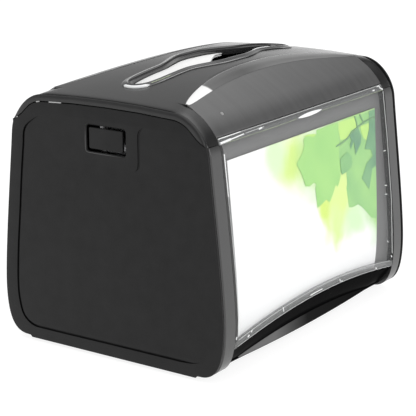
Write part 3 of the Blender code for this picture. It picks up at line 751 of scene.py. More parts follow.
# Painted highlights along the slot's rim, and one thin green line, as (name, material, radius, out, rise,
# first and last angle)
RIM_GLINTS = (
    ("crescent", CLEAR_GLINT, 1.0, 0.86, 0.4, -0.44, 0.20),
    ("green", GREEN_LINE, 0.35, 0.55, 0.75, -0.85, -0.40),
    ("front", RIM_PAINTED_HIGHLIGHT, 0.2, 0.93, 0.5, -1.75, -0.5),
    ("front_far", CLEAR_GLINT, 0.42, 0.30, 1.2, -2.3, -1.86),
    ("front_end", RIM_PAINTED_HIGHLIGHT, 0.25, 0.93, 0.5, -2.9, -2.35),
    ("rear", RIM_PAINTED_HIGHLIGHT, 0.36, 0.36, 1.25, 0.12, 1.5),
    ("rear_far", RIM_PAINTED_HIGHLIGHT, 0.22, 0.90, 0.5, 1.5, 2.9))


def make_rim_glints():
    for name, ink, radius, out, rise, first, last in RIM_GLINTS:
        path = []
        for angle in stations(first, last, 41):
            x, y = slot_point(angle, out)
            path.append((x, y, dome_height(x, y) + rise))
        thin_line(f"rim_glint_{name}", path, radius, ink, tapered=True)


def make_crease_highlight(word, side):
    """A painted highlight: the thin bright line along the far part of the crease."""
    path = []
    for x in stations(2.0, 80.0, 40):
        y, z = edge_ends(x)[1]
        path.append((-side * x, side * (y + 0.1), z + 0.1))
    thin_line(f"crease_highlight_{word}", path, 0.24, RIM_PAINTED_HIGHLIGHT, tapered=True)


def make_hood_stud(word, side):
    """A small pale stud near the hood's end."""
    y, z = wall(0.0, 139.9, 141.0, 2)[0]
    bm = bmesh.new()
    bmesh.ops.create_uvsphere(bm, u_segments=20, v_segments=12, radius=1.25 * MM)
    bm.transform(Matrix.Translation((side * 70.9 * MM, side * (y - 0.5) * MM, (z - 0.45) * MM)))
    finish_mesh(from_bmesh(f"hood_stud_{word}", bm, STUD_GREY), "housing", 60.0)


def hoop_outline(low_inset, top):
    """The U-shaped (y, z) outline of a hoop, open at the top."""
    outer = wall(low_inset, 0.0, top, 60)[::-1]
    inner = [(60.0, 5.2)] + wall(7.0, 10.0, top, 40)
    return both_sides(outer) + sided(-1, inner[::-1]) + inner


def make_body():
    top = SEAM - GAP
    pieces = []
    for side in (-1, 1):
        sections = []
        for x, inset in ((SHELL_END, 1.0), (SHELL_END - 0.3, 0.45), (SHELL_END - 1.0, 0.0), (94.0, 0.0),
                         (PANEL_HALF + 0.05, 0.0), (PANEL_HALF, 0.06)):
            sections.append((side * x, hoop_outline(inset, top)))
        pieces.append(loft_x(f"hoop_{side}", sections, MATTE_GREY))
    for y in (-56.0, 56.0):
        low, high = (HINGE_X, y - 3.0, HINGE_Z - 1.5), (-93.0, y + 3.0, HINGE_Z + 1.5)
        pieces.append(box("hinge_arm", low, high, 0.3, MATTE_GREY))
        pieces.append(cylinder("hinge_lug", "Y", (HINGE_X, HINGE_Z), 1.6, y - 3.0, y + 3.0, MATTE_GREY))
    body = joined("body_housing", pieces, MATTE_GREY)
    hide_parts("body_shell")
    finish_mesh(body, "housing", 30.0)


def make_display_wall(word, side):
    sections = []
    for x in stations(-PANEL_HALF - 0.5, PANEL_HALF + 0.5, 41):
        low = arch_height(x) + 0.3
        outline = wall(4.2, low, SEAM - GAP, 40) + wall(7.0, low, SEAM - GAP, 30)[::-1]
        sections.append((x, sided(side, outline)))
    panel = loft_x(f"display_wall_{word}", sections, PANEL_GREY)
    finish_mesh(panel, "housing", 30.0)


def grip_swell(x):
    """How far the grip's face has opened at station x, from 0 at its ends to 1 in the middle."""
    return max(0.0, 1.0 - (x / GRIP_HALF) ** 2)


def tray_section(x):
    share = grip_swell(x)
    edge = (65.2 + 1.3 * share, 5.5 - 0.9 * share)
    ridge = (64.9 + 1.0 * share, 6.0 + 5.0 * share)
    top_z = arch_height(x) - 0.6
    top_y = wall_y(1.0, top_z)
    across = [(ridge[0] + (top_y - ridge[0]) * t ** 0.8, ridge[1] + 0.15 + (top_z - 0.4 - ridge[1]) * t)
              for t in (0.02, 0.15, 0.3, 0.45, 0.6, 0.75, 0.9, 1.0)]
    right = [(57.0, 2.9), (edge[0] - 2.5, 3.3), (edge[0] - 0.5, edge[1] - 0.7), edge, ridge] + across
    right += [(top_y - 0.3, top_z), (top_y - 3.4, top_z), (ridge[0] - 3.0, ridge[1] + 1.5), (58.0, 5.6)]
    return both_sides(right)


def make_tray():
    half = PANEL_HALF - GAP
    pieces = [loft_x("tray_pan", [(x, tray_section(x)) for x in stations(-half, half, 57)], BLACK)]
    for x in (-45.0, 45.0):
        pieces.append(cylinder("spring_seat", "Z", (x, 0.0), 9.3, 4.0, 10.0, BLACK, 48))
    for x, reach in ((-83.0, -93.0), (83.0, 97.5)):
        for y in (-45.0, 45.0):
            low, high = sorted((x, reach))
            pieces.append(box("tray_ear", (low, y - 5, 5.5), (high, y + 5, 8.0), 0.4, BLACK))
    tray = joined("tray_grips", pieces, BLACK)
    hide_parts("base_tray")
    finish_mesh(tray, "housing", 22.0)


def make_grip_face(word, side):
    """The lens-shaped face between the grip's ridge and its lower edge."""
    sections = []
    for x in stations(-71.0, 71.0, 61):
        share = grip_swell(x)
        low = (65.2 + 1.3 * share + 0.12, 5.5 - 0.9 * share)
        high = (64.9 + 1.0 * share + 0.12, 5.8 + 4.8 * share)
        outline = [low, high, (high[0] - 0.4, high[1]), (low[0] - 0.4, low[1])]
        sections.append((x, sided(side, outline)))
    # The grip's face, black with a painted sheen towards the door end.
    face = loft_x(f"grip_face_{word}", sections, GRIP_PAINTED_SHEEN)
    finish_mesh(face, "housing", 30.0)


def end_half_outline():
    return bezier(CORNER, 24) + bezier(SIDE, 24)[1:] + bezier(END_SHOULDER, 24)[1:]


def end_ribs(side, material):
    """The two ribs behind the door (side -1) or the end panel (side 1)."""
    ribs = []
    ends = sorted((side * 94.0, side * (HALF_LENGTH - 0.6)))
    outline = wall(3.2, 12.0, 122.0, 30) + wall(5.0, 12.0, 122.0, 30)[::-1]
    for hand in (-1, 1):
        ribs.append(loft_x("rib", [(x, sided(hand, outline)) for x in ends], material))
    return ribs


def make_end_panel():
    outline = both_sides(end_half_outline() + [(22.0, 145.4), END_CROWN])
    pieces = [plate("end_plate", "X", [outline], HALF_LENGTH - END_PLATE, HALF_LENGTH, 0.5, CHARCOAL)]
    pieces += end_ribs(1, CHARCOAL)
    pieces.append(box("end_flange", (92.5, -25.0, 142.15), (99.8, 25.0, 142.85), 0.15, CHARCOAL))
    panel = joined("end_cap", pieces, CHARCOAL)
    carve_groove(panel, END_GROOVE, HALF_LENGTH)
    carve_groove(panel, sided(-1, END_GROOVE), HALF_LENGTH)
    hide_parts("end_panel")
    finish_mesh(panel, "housing", 30.0)


def door_top_edge(drop=0.0):
    """The door's curved upper edge, from the middle outwards."""
    flat = [(0.0, 141.8), (22.0, 141.5), (44.0, 140.4)]
    fall = bezier(((44.0, 140.4), (56.0, 139.5), (56.0, 131.0), (65.4, 128.6)), 20)[1:]
    return [(y, z - drop) for y, z in flat + fall]


def make_lintel():
    """The strip above the door: its face leans back towards the cover."""
    upper = [p for p in bezier(END_SHOULDER, 60) if p[1] >= SEAM + 0.4]
    upper = resample(upper + [(22.0, 145.4), END_CROWN], 50)
    lower = resample([p for p in door_top_edge(-GAP) if p[0] < upper[0][0] - 0.2][::-1], 50)
    face = -HALF_LENGTH
    rings = []
    for (uy, uz), (ly, lz) in zip(upper, lower):
        across = [(0.0, 0.25), (0.06, 0.0), (0.45, 0.05), (0.8, 0.35), (0.94, 0.8), (1.0, 1.3)]
        ring = [(face + back, ly + (uy - ly) * t, lz + (uz - lz) * t) for t, back in across]
        ring += [(face + END_PLATE + 0.6, ly + (uy - ly) * t, lz + (uz - lz) * t) for t in (0.97, 0.5, 0.03)]
        rings.append(ring)
    rings = rings + [[(x, -y, z) for x, y, z in ring] for ring in rings[-2::-1]]
    # The lintel is charcoal made lighter, as painted light.
    pieces = [loft("lintel_face", rings, LIP_CHARCOAL_PAINTED_LIGHT)]
    pieces.append(box("keeper_flange", (-99.8, -25.0, 142.15), (-92.5, 25.0, 142.85), 0.15, LIP_CHARCOAL_PAINTED_LIGHT))
    lintel = joined("lintel_strip", pieces, LIP_CHARCOAL_PAINTED_LIGHT)
    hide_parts("door_lintel")
    finish_mesh(lintel, "housing", 45.0)


# ---------------------------------------------------------------- door

# The fine grooves in the door and the end panel, as (y, z)
SIDE_GROOVE = ((46.5, 132.3), (48.8, 131.0), (56.5, 124.4), (58.0, 115.0), (60.1, 98.0), (62.4, 75.0),
               (64.5, 55.3), (65.6, 40.0), (65.8, 30.0), (64.9, 22.0), (62.2, 14.0), (56.0, 9.6), (48.0, 9.0),
               (0.0, 9.2), (-48.0, 9.3), (-56.0, 9.6), (-60.5, 11.0))
SHORT_GROOVE = ((-25.2, 134.2), (-23.2, 132.6), (-22.1, 130.3), (-21.9, 127.5), (-21.9, 121.0),
                (-21.9, 114.0), (-21.6, 112.2), (-20.6, 110.6), (-19.2, 109.6))
END_GROOVE = SIDE_GROOVE[:-3]


def smooth_path(points, steps=8):
    """A smooth curve through the points."""
    result = []
    for i in range(len(points) - 1):
        before, a = points[max(i - 1, 0)], points[i]
        b, after = points[i + 1], points[min(i + 2, len(points) - 1)]
        span = math.dist(a, b)
        first = tuple((b[k] - before[k]) * span / max(math.dist(before, b), 0.01) for k in (0, 1))
        last = tuple((after[k] - a[k]) * span / max(math.dist(a, after), 0.01) for k in (0, 1))
        for j in range(steps):
            t = j / steps
            h1, h2 = 2 * t ** 3 - 3 * t * t + 1, t ** 3 - 2 * t * t + t
            h3, h4 = -2 * t ** 3 + 3 * t * t, t ** 3 - t * t
            result.append(tuple(h1 * a[k] + h2 * first[k] + h3 * b[k] + h4 * last[k] for k in (0, 1)))
    return result + [points[-1]]


def carve_groove(target, points, face):
    """Cut a fine groove into the end face at x = face.

    On the door the cut leaves most of the long groove without a floor, so that mesh is not closed.
    """
    smooth = smooth_path(points)
    length = sum(math.dist(a, b) for a, b in zip(smooth, smooth[1:]))
    depth = face - math.copysign(0.04, face)
    path = [(depth, y, z) for y, z in resample(smooth, max(14, round(length / 2.2)))]
    carve(target, tube("groove_cutter", path, 0.72, CHARCOAL, tapered=True, sides=2))


def rounded_rectangle(half_width, low, high, radius):
    middle = (low + high) / 2
    half_height = (high - low) / 2
    result = []
    for quarter, (sy, sz) in enumerate(((1, 1), (-1, 1), (-1, -1), (1, -1))):
        for i in range(7):
            angle = math.pi / 2 * (quarter + i / 6)
            result.append((sy * (half_width - radius) + radius * math.cos(angle),
                           middle + sz * (half_height - radius) + radius * math.sin(angle)))
    return result


def well_outline(more):
    """The well around the button, larger by more on every side."""
    return rounded_rectangle(WELL_HALF_WIDTH + more, WELL_LOW - more, WELL_HIGH + more, WELL_RADIUS + more)


def make_door():
    lip = [DOOR_LIP, (DOOR_LIP[0] + 1.2, BODY_BOTTOM - 0.1)]
    outline = both_sides(lip + [p for p in end_half_outline() if p[1] < SEAM] + door_top_edge()[::-1])
    door = plate("door_plate", "X", [outline], -HALF_LENGTH, -HALF_LENGTH + END_PLATE, 0.45, CHARCOAL)
    carve(door, plate("well_cutter", "X", [well_outline(0.0)], -103.0, -97.0, 0.0, CHARCOAL))
    funnel = [[(x, *p) for p in well_outline(more)] for x, more in ((-101.0, 1.1), (-99.9, -0.05))]
    carve(door, loft("funnel_cutter", funnel, CHARCOAL))
    carve_groove(door, SIDE_GROOVE, -HALF_LENGTH)
    carve_groove(door, SHORT_GROOVE, -HALF_LENGTH)
    pieces = [door] + end_ribs(-1, CHARCOAL)
    for y in (-46.0, 46.0):
        pieces.append(cylinder("knuckle", "Y", (HINGE_X, HINGE_Z), 2.2, y - 6, y + 6, CHARCOAL))
    for y in (-44.0, 44.0):
        for z in (30.0, 115.0):
            pieces.append(cylinder("boss", "X", (y, z), 3.2, -99.8, -91.7, CHARCOAL))
    whole = joined("door_leaf", pieces, CHARCOAL)
    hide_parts("door_panel")
    finish_mesh(whole, "door", 30.0)


def make_well_highlights():
    """Painted highlights: a light line along the edge of the button's well, and bright slivers in the gap
    above the door.
    """
    corner = [(13.7, 130.5), (13.75, 124.0), (13.75, 118.4), (13.3, 116.9), (12.0, 116.35), (0.0, 116.35),
              (-11.5, 116.35)]
    path = [(-HALF_LENGTH, y, z) for y, z in corner]
    thin_line("well_edge_highlight", path, 0.3, WELL_HIGHLIGHT, "door", tapered=True)
    # Painted highlights: bright slivers in the gap above the door.
    for number, ends in enumerate(((47.6, 45.4), (38.5, 30.0)), 1):
        path = [(-HALF_LENGTH + 0.05, y, top_edge_z(y)) for y in ends]
        thin_line(f"gap_glint_{number}", path, 0.32, RIM_PAINTED_HIGHLIGHT)


def top_edge_z(y):
    """The height of the gap above the door at y."""
    points = door_top_edge()
    for (y0, z0), (y1, z1) in zip(points, points[1:]):
        if y0 <= y <= y1:
            return z0 + (z1 - z0) * (y - y0) / (y1 - y0) + 0.15
    return points[-1][1]


def make_button():
    face = plate("button_face", "X", [rounded_rectangle(BUTTON_HALF_WIDTH, BUTTON_LOW, BUTTON_HIGH, 0.9)],
                 -HALF_LENGTH + 0.1, -98.8, 0.3, CHARCOAL)
    wedge = [(-99.5, 121.5), (-98.8, 121.5), (-95.8, 124.5), (-95.8, 127.5), (-99.5, 127.5)]
    back = plate("button_ramp", "Y", [wedge], -5.0, 5.0, 0.0, CHARCOAL)
    button = joined("push_button", [face, back], CHARCOAL)
    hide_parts("door_button")
    finish_mesh(button, "button", 30.0)


# ---------------------------------------------------------------- cards and windows

# The printed leaves, as outlines of (x, z) on the card seen from the front
LEAVES = (
    ("backdrop", LEAF_MIDDLE, (
        (36.0, 116.2), (79.2, 116.8), (79.2, 52.0), (71.8, 51.2), (65.9, 53.1), (61.3, 57.2), (56.8, 61.1),
        (51.2, 64.6), (44.2, 64.4), (40.3, 65.3), (39.6, 73.7), (39.1, 77.3), (41.6, 81.3), (46.4, 88.3),
        (40.3, 86.6), (34.8, 86.0), (33.2, 88.9), (32.0, 96.9))),
    ("sunlit", LEAF_YELLOW, (
        (36.0, 116.6), (50.6, 116.3), (55.7, 116.4), (55.8, 109.9), (49.8, 109.5), (44.3, 105.6),
        (36.5, 106.1), (35.2, 112.2))),
    ("bright_vein", LEAF_YELLOW, (
        (-4.0, 115.8), (1.4, 116.1), (9.5, 114.8), (12.8, 112.1), (10.8, 111.0), (5.7, 113.7),
        (-1.4, 115.3))),
    ("sunlit_far", LEAF_YELLOW, (
        (60.8, 109.9), (75.1, 109.8), (75.8, 107.7), (70.5, 106.6), (66.5, 100.3), (63.7, 101.9),
        (61.2, 105.9))),
    ("large", LEAF_LIGHT, (
        (21.9, 116.9), (10.7, 116.8), (11.1, 113.3), (12.8, 111.8), (10.9, 111.2), (7.5, 113.3),
        (2.2, 115.0), (-2.3, 115.0), (-3.9, 113.4), (-3.3, 110.9), (-5.2, 107.5), (-8.3, 105.2),
        (-13.2, 102.0), (-9.3, 98.8), (-8.9, 95.9), (-4.6, 94.5), (-4.2, 91.6), (-5.7, 87.8), (-1.3, 86.9),
        (3.4, 88.0), (7.6, 91.0), (11.1, 92.4), (10.1, 89.5), (6.0, 86.5), (4.4, 84.4), (5.3, 81.3),
        (5.1, 72.9), (10.9, 74.2), (15.3, 75.7), (18.7, 73.2), (22.6, 76.5), (25.1, 84.8), (27.1, 81.9),
        (28.8, 80.1), (31.0, 82.1), (33.3, 85.6), (33.6, 90.9), (33.2, 96.9), (34.8, 107.4), (35.1, 116.8))),
    ("shaded_low", LEAF_DARK, (
        (64.3, 86.6), (69.7, 88.6), (77.4, 91.1), (76.3, 83.1), (70.5, 82.3), (68.9, 78.0), (65.3, 70.6),
        (60.9, 75.7), (57.3, 79.0), (60.7, 82.3))),
    ("shaded_corner", LEAF_DARK, (
        (72.0, 116.8), (79.2, 116.8), (78.9, 100.0), (77.4, 91.1), (72.9, 89.0), (70.6, 94.0),
        (63.6, 95.4), (66.2, 98.4), (70.4, 105.7), (75.8, 107.7), (73.2, 111.2), (71.6, 114.5))),
    ("shaded_middle", LEAF_DARK, (
        (46.5, 107.6), (52.7, 109.0), (57.8, 109.5), (60.9, 103.4), (59.3, 99.7), (55.9, 97.4),
        (52.3, 94.1), (51.7, 102.7), (47.1, 98.6), (46.5, 101.2), (48.9, 103.7))),
    ("overlap", LEAF_SHADE, (
        (43.1, 97.9), (47.4, 94.1), (47.7, 90.0), (46.4, 88.3), (40.3, 86.6), (34.8, 86.0), (34.1, 90.8),
        (34.0, 94.8), (36.9, 96.2))))
STEMS = (
    ((30.8, 103.5), (38.2, 104.3), (44.3, 105.6), (49.6, 108.0), (56.8, 109.7), (64.1, 111.3), (71.3, 112.0),
     (79.0, 112.4)),
    ((56.8, 109.7), (55.8, 113.8), (54.7, 116.7)),
    ((64.1, 111.8), (60.7, 116.7)))


def make_print(name, outline, side, layer, material):
    """A thin printed shape on the card, in the card's own (x, z)."""
    mesh = bpy.data.meshes.new(name)
    flat = [(-side * min(x, card_end(z) - 0.3), z) for x, z in outline]
    fine = []
    for a, b in zip(flat, flat[1:] + flat[:1]):
        steps = max(1, round(math.dist(a, b) / 6.0))
        fine += [tuple(p + (q - p) * i / steps for p, q in zip(a, b)) for i in range(steps)]
    bm = bmesh.new()
    face = bm.faces.new([bm.verts.new((x, 0.0, z)) for x, z in fine])
    bmesh.ops.triangulate(bm, faces=[face])
    for _ in range(2):
        long_edges = [e for e in bm.edges if e.calc_length() > 9.0]
        if long_edges:
            bmesh.ops.subdivide_edges(bm, edges=long_edges, cuts=1)
            bmesh.ops.triangulate(bm, faces=bm.faces[:])
    out = 0.06 + 0.035 * layer
    for vertex in bm.verts:
        x, z = vertex.co.x, vertex.co.z
        vertex.co = (x * MM, side * (wall_y(CARD_INSET, z) + out) * MM, z * MM)
    bm.to_mesh(mesh)
    bm.free()
    leaf = new_object(name, mesh, material)
    finish_mesh(leaf, "housing", 60.0)


def make_stem(name, points, side):
    path = [(-side * min(x, card_end(z) - 0.5), side * (wall_y(CARD_INSET, z) + 0.15), z)
            for x, z in smooth_path(points, 4)]
    thin_line(name, path, 0.55, LEAF_STEM, sides=1)


def card_end(z):
    """The card's far edge, which leans in towards its foot."""
    return CARD_HALF - 0.105 * (CARD_TOP - z)


def make_card(word, side):
    rings = []
    for share in stations(0.0, 1.0, 41):
        low = arch_height(-CARD_HALF + 2 * CARD_HALF * share) + 2.9
        outline = wall(CARD_INSET, low, CARD_TOP, 50) + wall(CARD_INSET + CARD_THICK, low, CARD_TOP, 20)[::-1]
        ring = []
        for y, z in outline:
            start = -CARD_HALF - 0.02 * (CARD_TOP - z)
            ring.append((-side * (start + (card_end(z) - start) * share), side * y, z))
        rings.append(ring)
    card = loft(f"card_{word}", rings, printed_card(-side))
    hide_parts(f"insert_card_{word}")
    finish_mesh(card, "housing", 40.0)
    for layer, (part, ink, outline) in enumerate(LEAVES):
        make_print(f"leaf_{part}_{word}", outline, side, layer, ink)
    for number, points in enumerate(STEMS, 1):
        make_stem(f"leaf_stem_{number}_{word}", points, side)


def window_line(name, points, side, radius, body, material):
    """A painted highlight or thin green line on the clear window, along (x, z) points as seen from the front.
    """
    path = [(-side * x, side * wall_y(0.2, z), z) for x, z in points]
    thin_line(name, path, radius, material, body, sides=1)


def strip(name, xs, low, high, outer, inner, side, material, body, count=8):
    """A band of the clear window between two heights, which are functions of x."""
    sections = []
    for x in xs:
        outline = wall(outer, low(x), high(x), count) + wall(inner, low(x), high(x), count)[::-1]
        sections.append((x, sided(side, outline)))
    piece = loft_x(name, sections, material)
    return finish_mesh(piece, body, 40.0)


# Painted highlights in the clear window, and thin green lines, as (name, material, radius, points of (x, z)
# seen from the front)
WINDOW_GLINTS = (
    ("top_line", CLEAR_HIGHLIGHT_LINE, 0.28, (
        (-87.0, 130.3), (-60.0, 130.3), (-30.0, 130.2), (0.0, 130.2), (87.0, 130.2))),
    ("low_line", GREEN_LINE, 0.22, ((-81.0, 127.4), (-57.0, 127.3), (-32.0, 127.2), (-12.0, 127.4))),
    ("low_line_far", GREEN_LINE, 0.22, ((16.0, 127.3), (45.0, 127.3), (87.0, 127.2))),
    ("wedge", CLEAR_GLINT, 0.75, ((-86.9, 128.1), (-82.0, 128.2), (-77.0, 128.4))),
    ("wedge_tail", CLEAR_GLINT, 0.4, ((-77.0, 128.4), (-70.0, 128.6), (-64.0, 128.8))),
    ("streak", CLEAR_GLINT, 0.22, ((-62.0, 128.9), (-55.0, 129.0), (-44.0, 129.0))),
    ("streak_spot", CLEAR_GLINT, 0.5, ((-49.5, 128.7), (-48.0, 128.8), (-46.5, 128.9))),
    ("top_streak", CLEAR_GLINT, 0.3, ((-86.9, 130.2), (-76.0, 130.25), (-66.0, 130.3))),
    ("corner_spot", CLEAR_GLINT, 0.5, ((76.0, 128.6), (77.0, 128.5), (78.0, 128.6))),
    ("corner_hook", CLEAR_GLINT, 0.45, ((82.5, 129.9), (84.5, 130.0), (85.5, 128.4), (87.6, 127.6))),
    ("near_bar", CLEAR_GLINT, 0.42, ((-85.7, 122.4), (-85.6, 116.0), (-85.6, 110.0), (-85.6, 100.0))),
    ("near_bar_low", CLEAR_HIGHLIGHT_LINE, 0.3, ((-85.6, 100.0), (-85.6, 70.0), (-85.5, 45.0), (-85.3, 24.0))),
    ("far_line", CLEAR_HIGHLIGHT_LINE, 0.25, ((87.5, 126.5), (87.4, 100.0), (87.2, 60.0), (86.8, 26.0))),
    ("snap_1", CLEAR_GLINT, 0.28, ((82.0, 91.0), (84.0, 91.0))),
    ("snap_2", CLEAR_GLINT, 0.28, ((80.4, 70.2), (82.4, 69.8))),
    ("snap_3", CLEAR_GLINT, 0.28, ((80.0, 64.8), (82.0, 64.4))),
    ("snap_4", CLEAR_GLINT, 0.22, ((80.0, 35.6), (81.0, 34.4))),
    ("lip_glint_1", CLEAR_GLINT, 0.3, ((-40.4, 27.3), (-40.0, 26.0), (-39.8, 24.8))),
    ("lip_glint_2", CLEAR_GLINT, 0.3, ((-11.0, 26.1), (-5.0, 26.3), (2.0, 26.3))),
    ("lip_glint_3", CLEAR_GLINT, 0.25, ((22.2, 26.6), (22.6, 25.4), (25.6, 24.6))),
    ("lip_glint_4", CLEAR_GLINT, 0.4, ((66.6, 21.6), (67.4, 21.2))),
    ("lip_glint_5", CLEAR_GLINT, 0.4, ((85.8, 24.6), (86.4, 23.6))),
    ("lip_glint_6", CLEAR_GLINT, 0.4, ((-75.4, 20.4), (-74.2, 21.4))),
    ("lip_glint_7", CLEAR_GLINT, 0.35, ((-72.4, 22.4), (-71.8, 23.2))),
    ("lip_glint_8", CLEAR_GLINT, 0.4, ((-87.0, 22.6), (-86.8, 24.2))))


def make_window(word, side):
    body = f"{word}_window"
    half = PANEL_HALF - GAP
    xs = stations(-half, half, 49)

    def low_edge(x):
        return arch_height(x) + 0.4

    def lip_edge(x):
        return arch_height(x) + 4.3

    def top_edge(x):
        return WINDOW_TOP

    pane = strip(f"window_pane_{word}", xs, low_edge, top_edge, 0.3, 1.7, side, CLEAR, body, 50)
    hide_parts(f"window_{word}")
    strip(f"window_bead_{word}", xs, lambda x: BEAD_LOW, top_edge, 0.0, 3.6, side, CLEAR_EDGE, body)
    strip(f"window_lip_{word}", xs, low_edge, lip_edge, 0.1, 2.6, side, CLEAR_EDGE, body)
    # Painted shade: a dark, nearly opaque clear strip along one end of the window.
    near = sorted((side * half, side * (half - 2.0)))
    strip(f"window_side_{word}", near, low_edge, lambda x: 127.0, 0.1, 3.4, side, CLEAR_PAINTED_SHADE, body, 40)
    for name, ink, radius, points in WINDOW_GLINTS:
        window_line(f"window_{name}_{word}", points, side, radius, body, ink)
    # Painted highlights along the top and bottom of the window's lip.
    for name, rise in (("high", 4.3), ("low", 0.6)):
        points = [(x, arch_height(x) + rise) for x in xs[1:-1]]
        window_line(f"window_lip_{name}_{word}", points, side, 0.2, body, CLEAR_HIGHLIGHT_LINE)
    make_thumb_hold(word, side, body)


def make_thumb_hold(word, side, body):
    """The moulded thumb hold in the middle of the window's top bead, painted bright as a highlight."""
    sections = []
    for t in stations(0.02, 0.98, 31):
        x = -10.5 + 26.5 * t
        height = 1.0 * math.sin(math.pi * t) ** 0.7
        middle = 127.6 + 0.4 * t
        outline = []
        for i in range(12):
            angle = 2 * math.pi * i / 12
            z = middle + height * math.cos(angle)
            outline.append((side * (wall_y(0.0, z) + 0.5 * height * math.sin(angle)), z))
        sections.append((-side * x, outline))
    finish_mesh(loft_x(f"window_hold_{word}", sections, CLEAR_GLINT), body, 60.0)


# ---------------------------------------------------------------- napkins

def fold_edge(y):
    """The x at which the napkin's slanted fold crosses the slot at y."""
    return -0.65 + 1.9 * y


def make_ready_napkin():
    """The napkin in the slot: two layers of soft paper whose slanted fold crosses the opening."""
    pieces = []
    start = -73.5
    for layer, (back, level, thick) in enumerate(((0.0, -2.2, 0.5), (0.5, -3.1, 0.6))):
        rings = []
        for t in stations(0.0, 1.0, 49):
            ring_top, ring_low = [], []
            for v in stations(-1.0, 1.0, 21):
                x = start + (fold_edge(13.4 * v) - back - start) * t
                angle = math.acos(-x / SLOT_HALF)
                y = slot_point(angle, 0.0)[1] * v * 0.97
                wave = 0.3 * math.sin(x / 9.0 + layer) * math.cos(y / 7.0)
                ripple = 0.15 * math.sin(y / 3.1 + x / 31.0)
                z = dome_height(x, y) + level + (wave + ripple)
                ring_top.append((x, y, z))
                ring_low.append((x, y, z - thick))
            rings.append(ring_top + ring_low[::-1])
        pieces.append(loft(f"napkin_layer_{layer}", rings, TISSUE))
    napkin = joined("napkin_ready", pieces, TISSUE)
    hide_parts("top_napkin")
    finish_mesh(napkin, "housing", 50.0)


def make_stack():
    """The pile of folded napkins, each fold standing a little proud of its neighbours."""
    low, high = (v.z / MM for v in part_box("napkin_stack"))
    half_x, half_y = 82.3, 52.8
    layers = 34
    crown_height = 9.0
    height = high - crown_height - 0.5 - low
    thick = height / layers
    pieces = []
    for i in range(layers):
        z = low + height * i / layers
        wander_x = 0.25 * math.sin(i * 2.3)
        wander_y = 0.25 * math.sin(i * 1.7 + 1.0)
        rings = []
        for out, up in ((0.9, 0.06), (0.35, 0.2), (0.1, 0.5), (0.35, 0.8), (0.9, 0.94)):
            ring = []
            for y, x in rounded_rectangle(half_y - out, -half_x + out, half_x - out, 1.5):
                crown = crown_height * (1 - (y / half_y) ** 2) * (i + up) / layers
                ring.append((x + wander_x, y + wander_y, z + thick * up + crown * 0.98 - 0.2))
            rings.append(ring)
        pieces.append(loft(f"napkin_{i}", rings, TISSUE))
    stack = joined("napkin_pile", pieces, TISSUE)
    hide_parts("napkin_stack")
    finish_mesh(stack, "carriage", 40.0)


# ---------------------------------------------------------------- studio

def make_camera():
    yaw, pitch, roll = (math.radians(a) for a in (55.31, -15.53, -0.36))
    forward = Vector((math.cos(pitch) * math.sin(yaw), math.cos(pitch) * math.cos(yaw), math.sin(pitch)))
    level = Vector((math.cos(yaw), -math.sin(yaw), 0.0))
    upright = level.cross(forward)
    right = math.cos(roll) * level + math.sin(roll) * upright
    up = -math.sin(roll) * level + math.cos(roll) * upright
    data = bpy.data.cameras.new("camera")
    data.lens = 135.93
    data.sensor_width = 36.0
    data.clip_start = 0.01
    camera = bpy.data.objects.new("camera", data)
    matrix = Matrix((right, up, -forward)).transposed().to_4x4()
    matrix.translation = Vector((-740.23, -508.94, 313.24)) * MM
    camera.matrix_world = matrix
    bpy.context.scene.camera = added(camera)


def make_floor():
    bm = bmesh.new()
    bmesh.ops.create_grid(bm, x_segments=2, y_segments=2, size=6.0)
    material, tree, shader = tree_of("pale_floor", (0.25, 0.25, 0.25), 0.9)
    shader.inputs["Specular IOR Level"].default_value = 0.0
    shader.inputs["Emission Color"].default_value = (1.0, 1.0, 1.0, 1.0)
    shader.inputs["Emission Strength"].default_value = 0.86
    floor = from_bmesh("floor", bm, material)
    floor.location.z = -0.0004


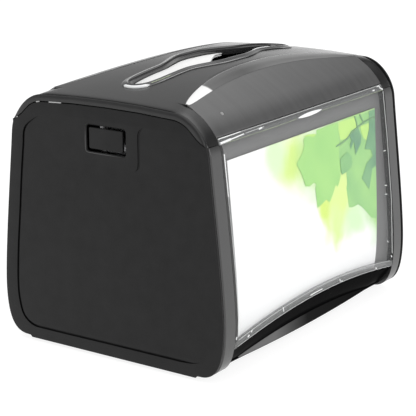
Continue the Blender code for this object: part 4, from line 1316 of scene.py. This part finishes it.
def make_world():
    """White to the camera, an even sky for soft light, and bands of light and dark in reflections."""
    world = bpy.data.worlds.new("studio")
    bpy.context.scene.world = world
    world.use_nodes = True
    tree = world.node_tree
    background = tree.nodes["Background"]
    height = coordinate(tree, "Z", "Generated")
    ramp = tree.nodes.new("ShaderNodeValToRGB")
    ramp.color_ramp.interpolation = "LINEAR"
    stops = ((0.0, 1.1), (0.10, 0.9), (0.24, 0.14), (0.48, 0.03), (0.58, 0.5), (0.66, 1.0), (0.70, 1.3),
             (1.0, 1.3))
    elements = ramp.color_ramp.elements
    while len(elements) < len(stops):
        elements.new(0.5)
    for element, (position, level) in zip(elements, stops):
        element.position = position
        element.color = (level, level, level, 1.0)
    tree.links.new(height, ramp.inputs["Fac"])
    rear = map_range(tree, coordinate(tree, "Y", "Generated"), 0.16, 0.4, smooth=True)
    backlight = map_range(tree, height, 0.0, 0.27, 1.0, 0.46)
    banded = color_mix(tree, rear, ramp.outputs["Color"], backlight)
    sky = map_range(tree, height, 0.0, 0.7, 0.45, 1.15)
    path = tree.nodes.new("ShaderNodeLightPath")
    soft = color_mix(tree, path.outputs["Is Diffuse Ray"], banded, sky)
    seen = color_mix(tree, path.outputs["Is Camera Ray"], soft, (1.0, 1.0, 1.0))
    tree.links.new(seen, background.inputs["Color"])


def area_light(name, place, target, size, power):
    data = bpy.data.lights.new(name, "AREA")
    data.shape = "RECTANGLE"
    data.size, data.size_y = size
    data.energy = power
    light = bpy.data.objects.new(name, data)
    light.location = place
    light.rotation_euler = (Vector(target) - Vector(place)).to_track_quat("-Z", "Y").to_euler()
    added(light)


def assign(material, *nodes):
    for node in nodes:
        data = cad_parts[node].data
        data.materials.clear()
        data.materials.append(material)


make_camera()
make_cover()
make_slot_rim()
make_rim_glints()
make_body()
make_tray()
make_end_panel()
make_lintel()
make_door()
make_well_highlights()
make_button()
for view_word, view_side in (("front", -1), ("rear", 1)):
    make_hood(view_word, view_side)
    # The front strip carries the painted highlight; the rear strip is plain edge grey.
    make_edge_strip(view_word, view_side, EDGE_PAINTED_HIGHLIGHT if view_side < 0 else EDGE_GREY)
    make_crease_highlight(view_word, view_side)
    make_hood_stud(view_word, view_side)
    make_display_wall(view_word, view_side)
    make_grip_face(view_word, view_side)
    make_card(view_word, view_side)
    make_window(view_word, view_side)
make_ready_napkin()
make_stack()
assign(BLACK, "dispensing_plate")
assign(CHARCOAL, "door_liner", "napkin_platform")
assign(RUBBER, "foot_strip_door", "foot_strip_end")
assign(STEEL, "latch_bolt", "latch_spring", "guide_rail_front", "guide_rail_rear", "hinge_pin_front",
       "hinge_pin_rear", "platform_spring_door", "platform_spring_end",
       *(f"{kind}_screw_{i}" for kind in ("base", "liner") for i in range(1, 5)))
make_floor()
make_world()
area_light("front_key", (-0.2, -1.6, 0.7), (0.0, 0.0, 0.08), (1.4, 0.9), 8.0)

view = bpy.context.scene.view_settings
view.view_transform = "Standard"
view.look = "None"
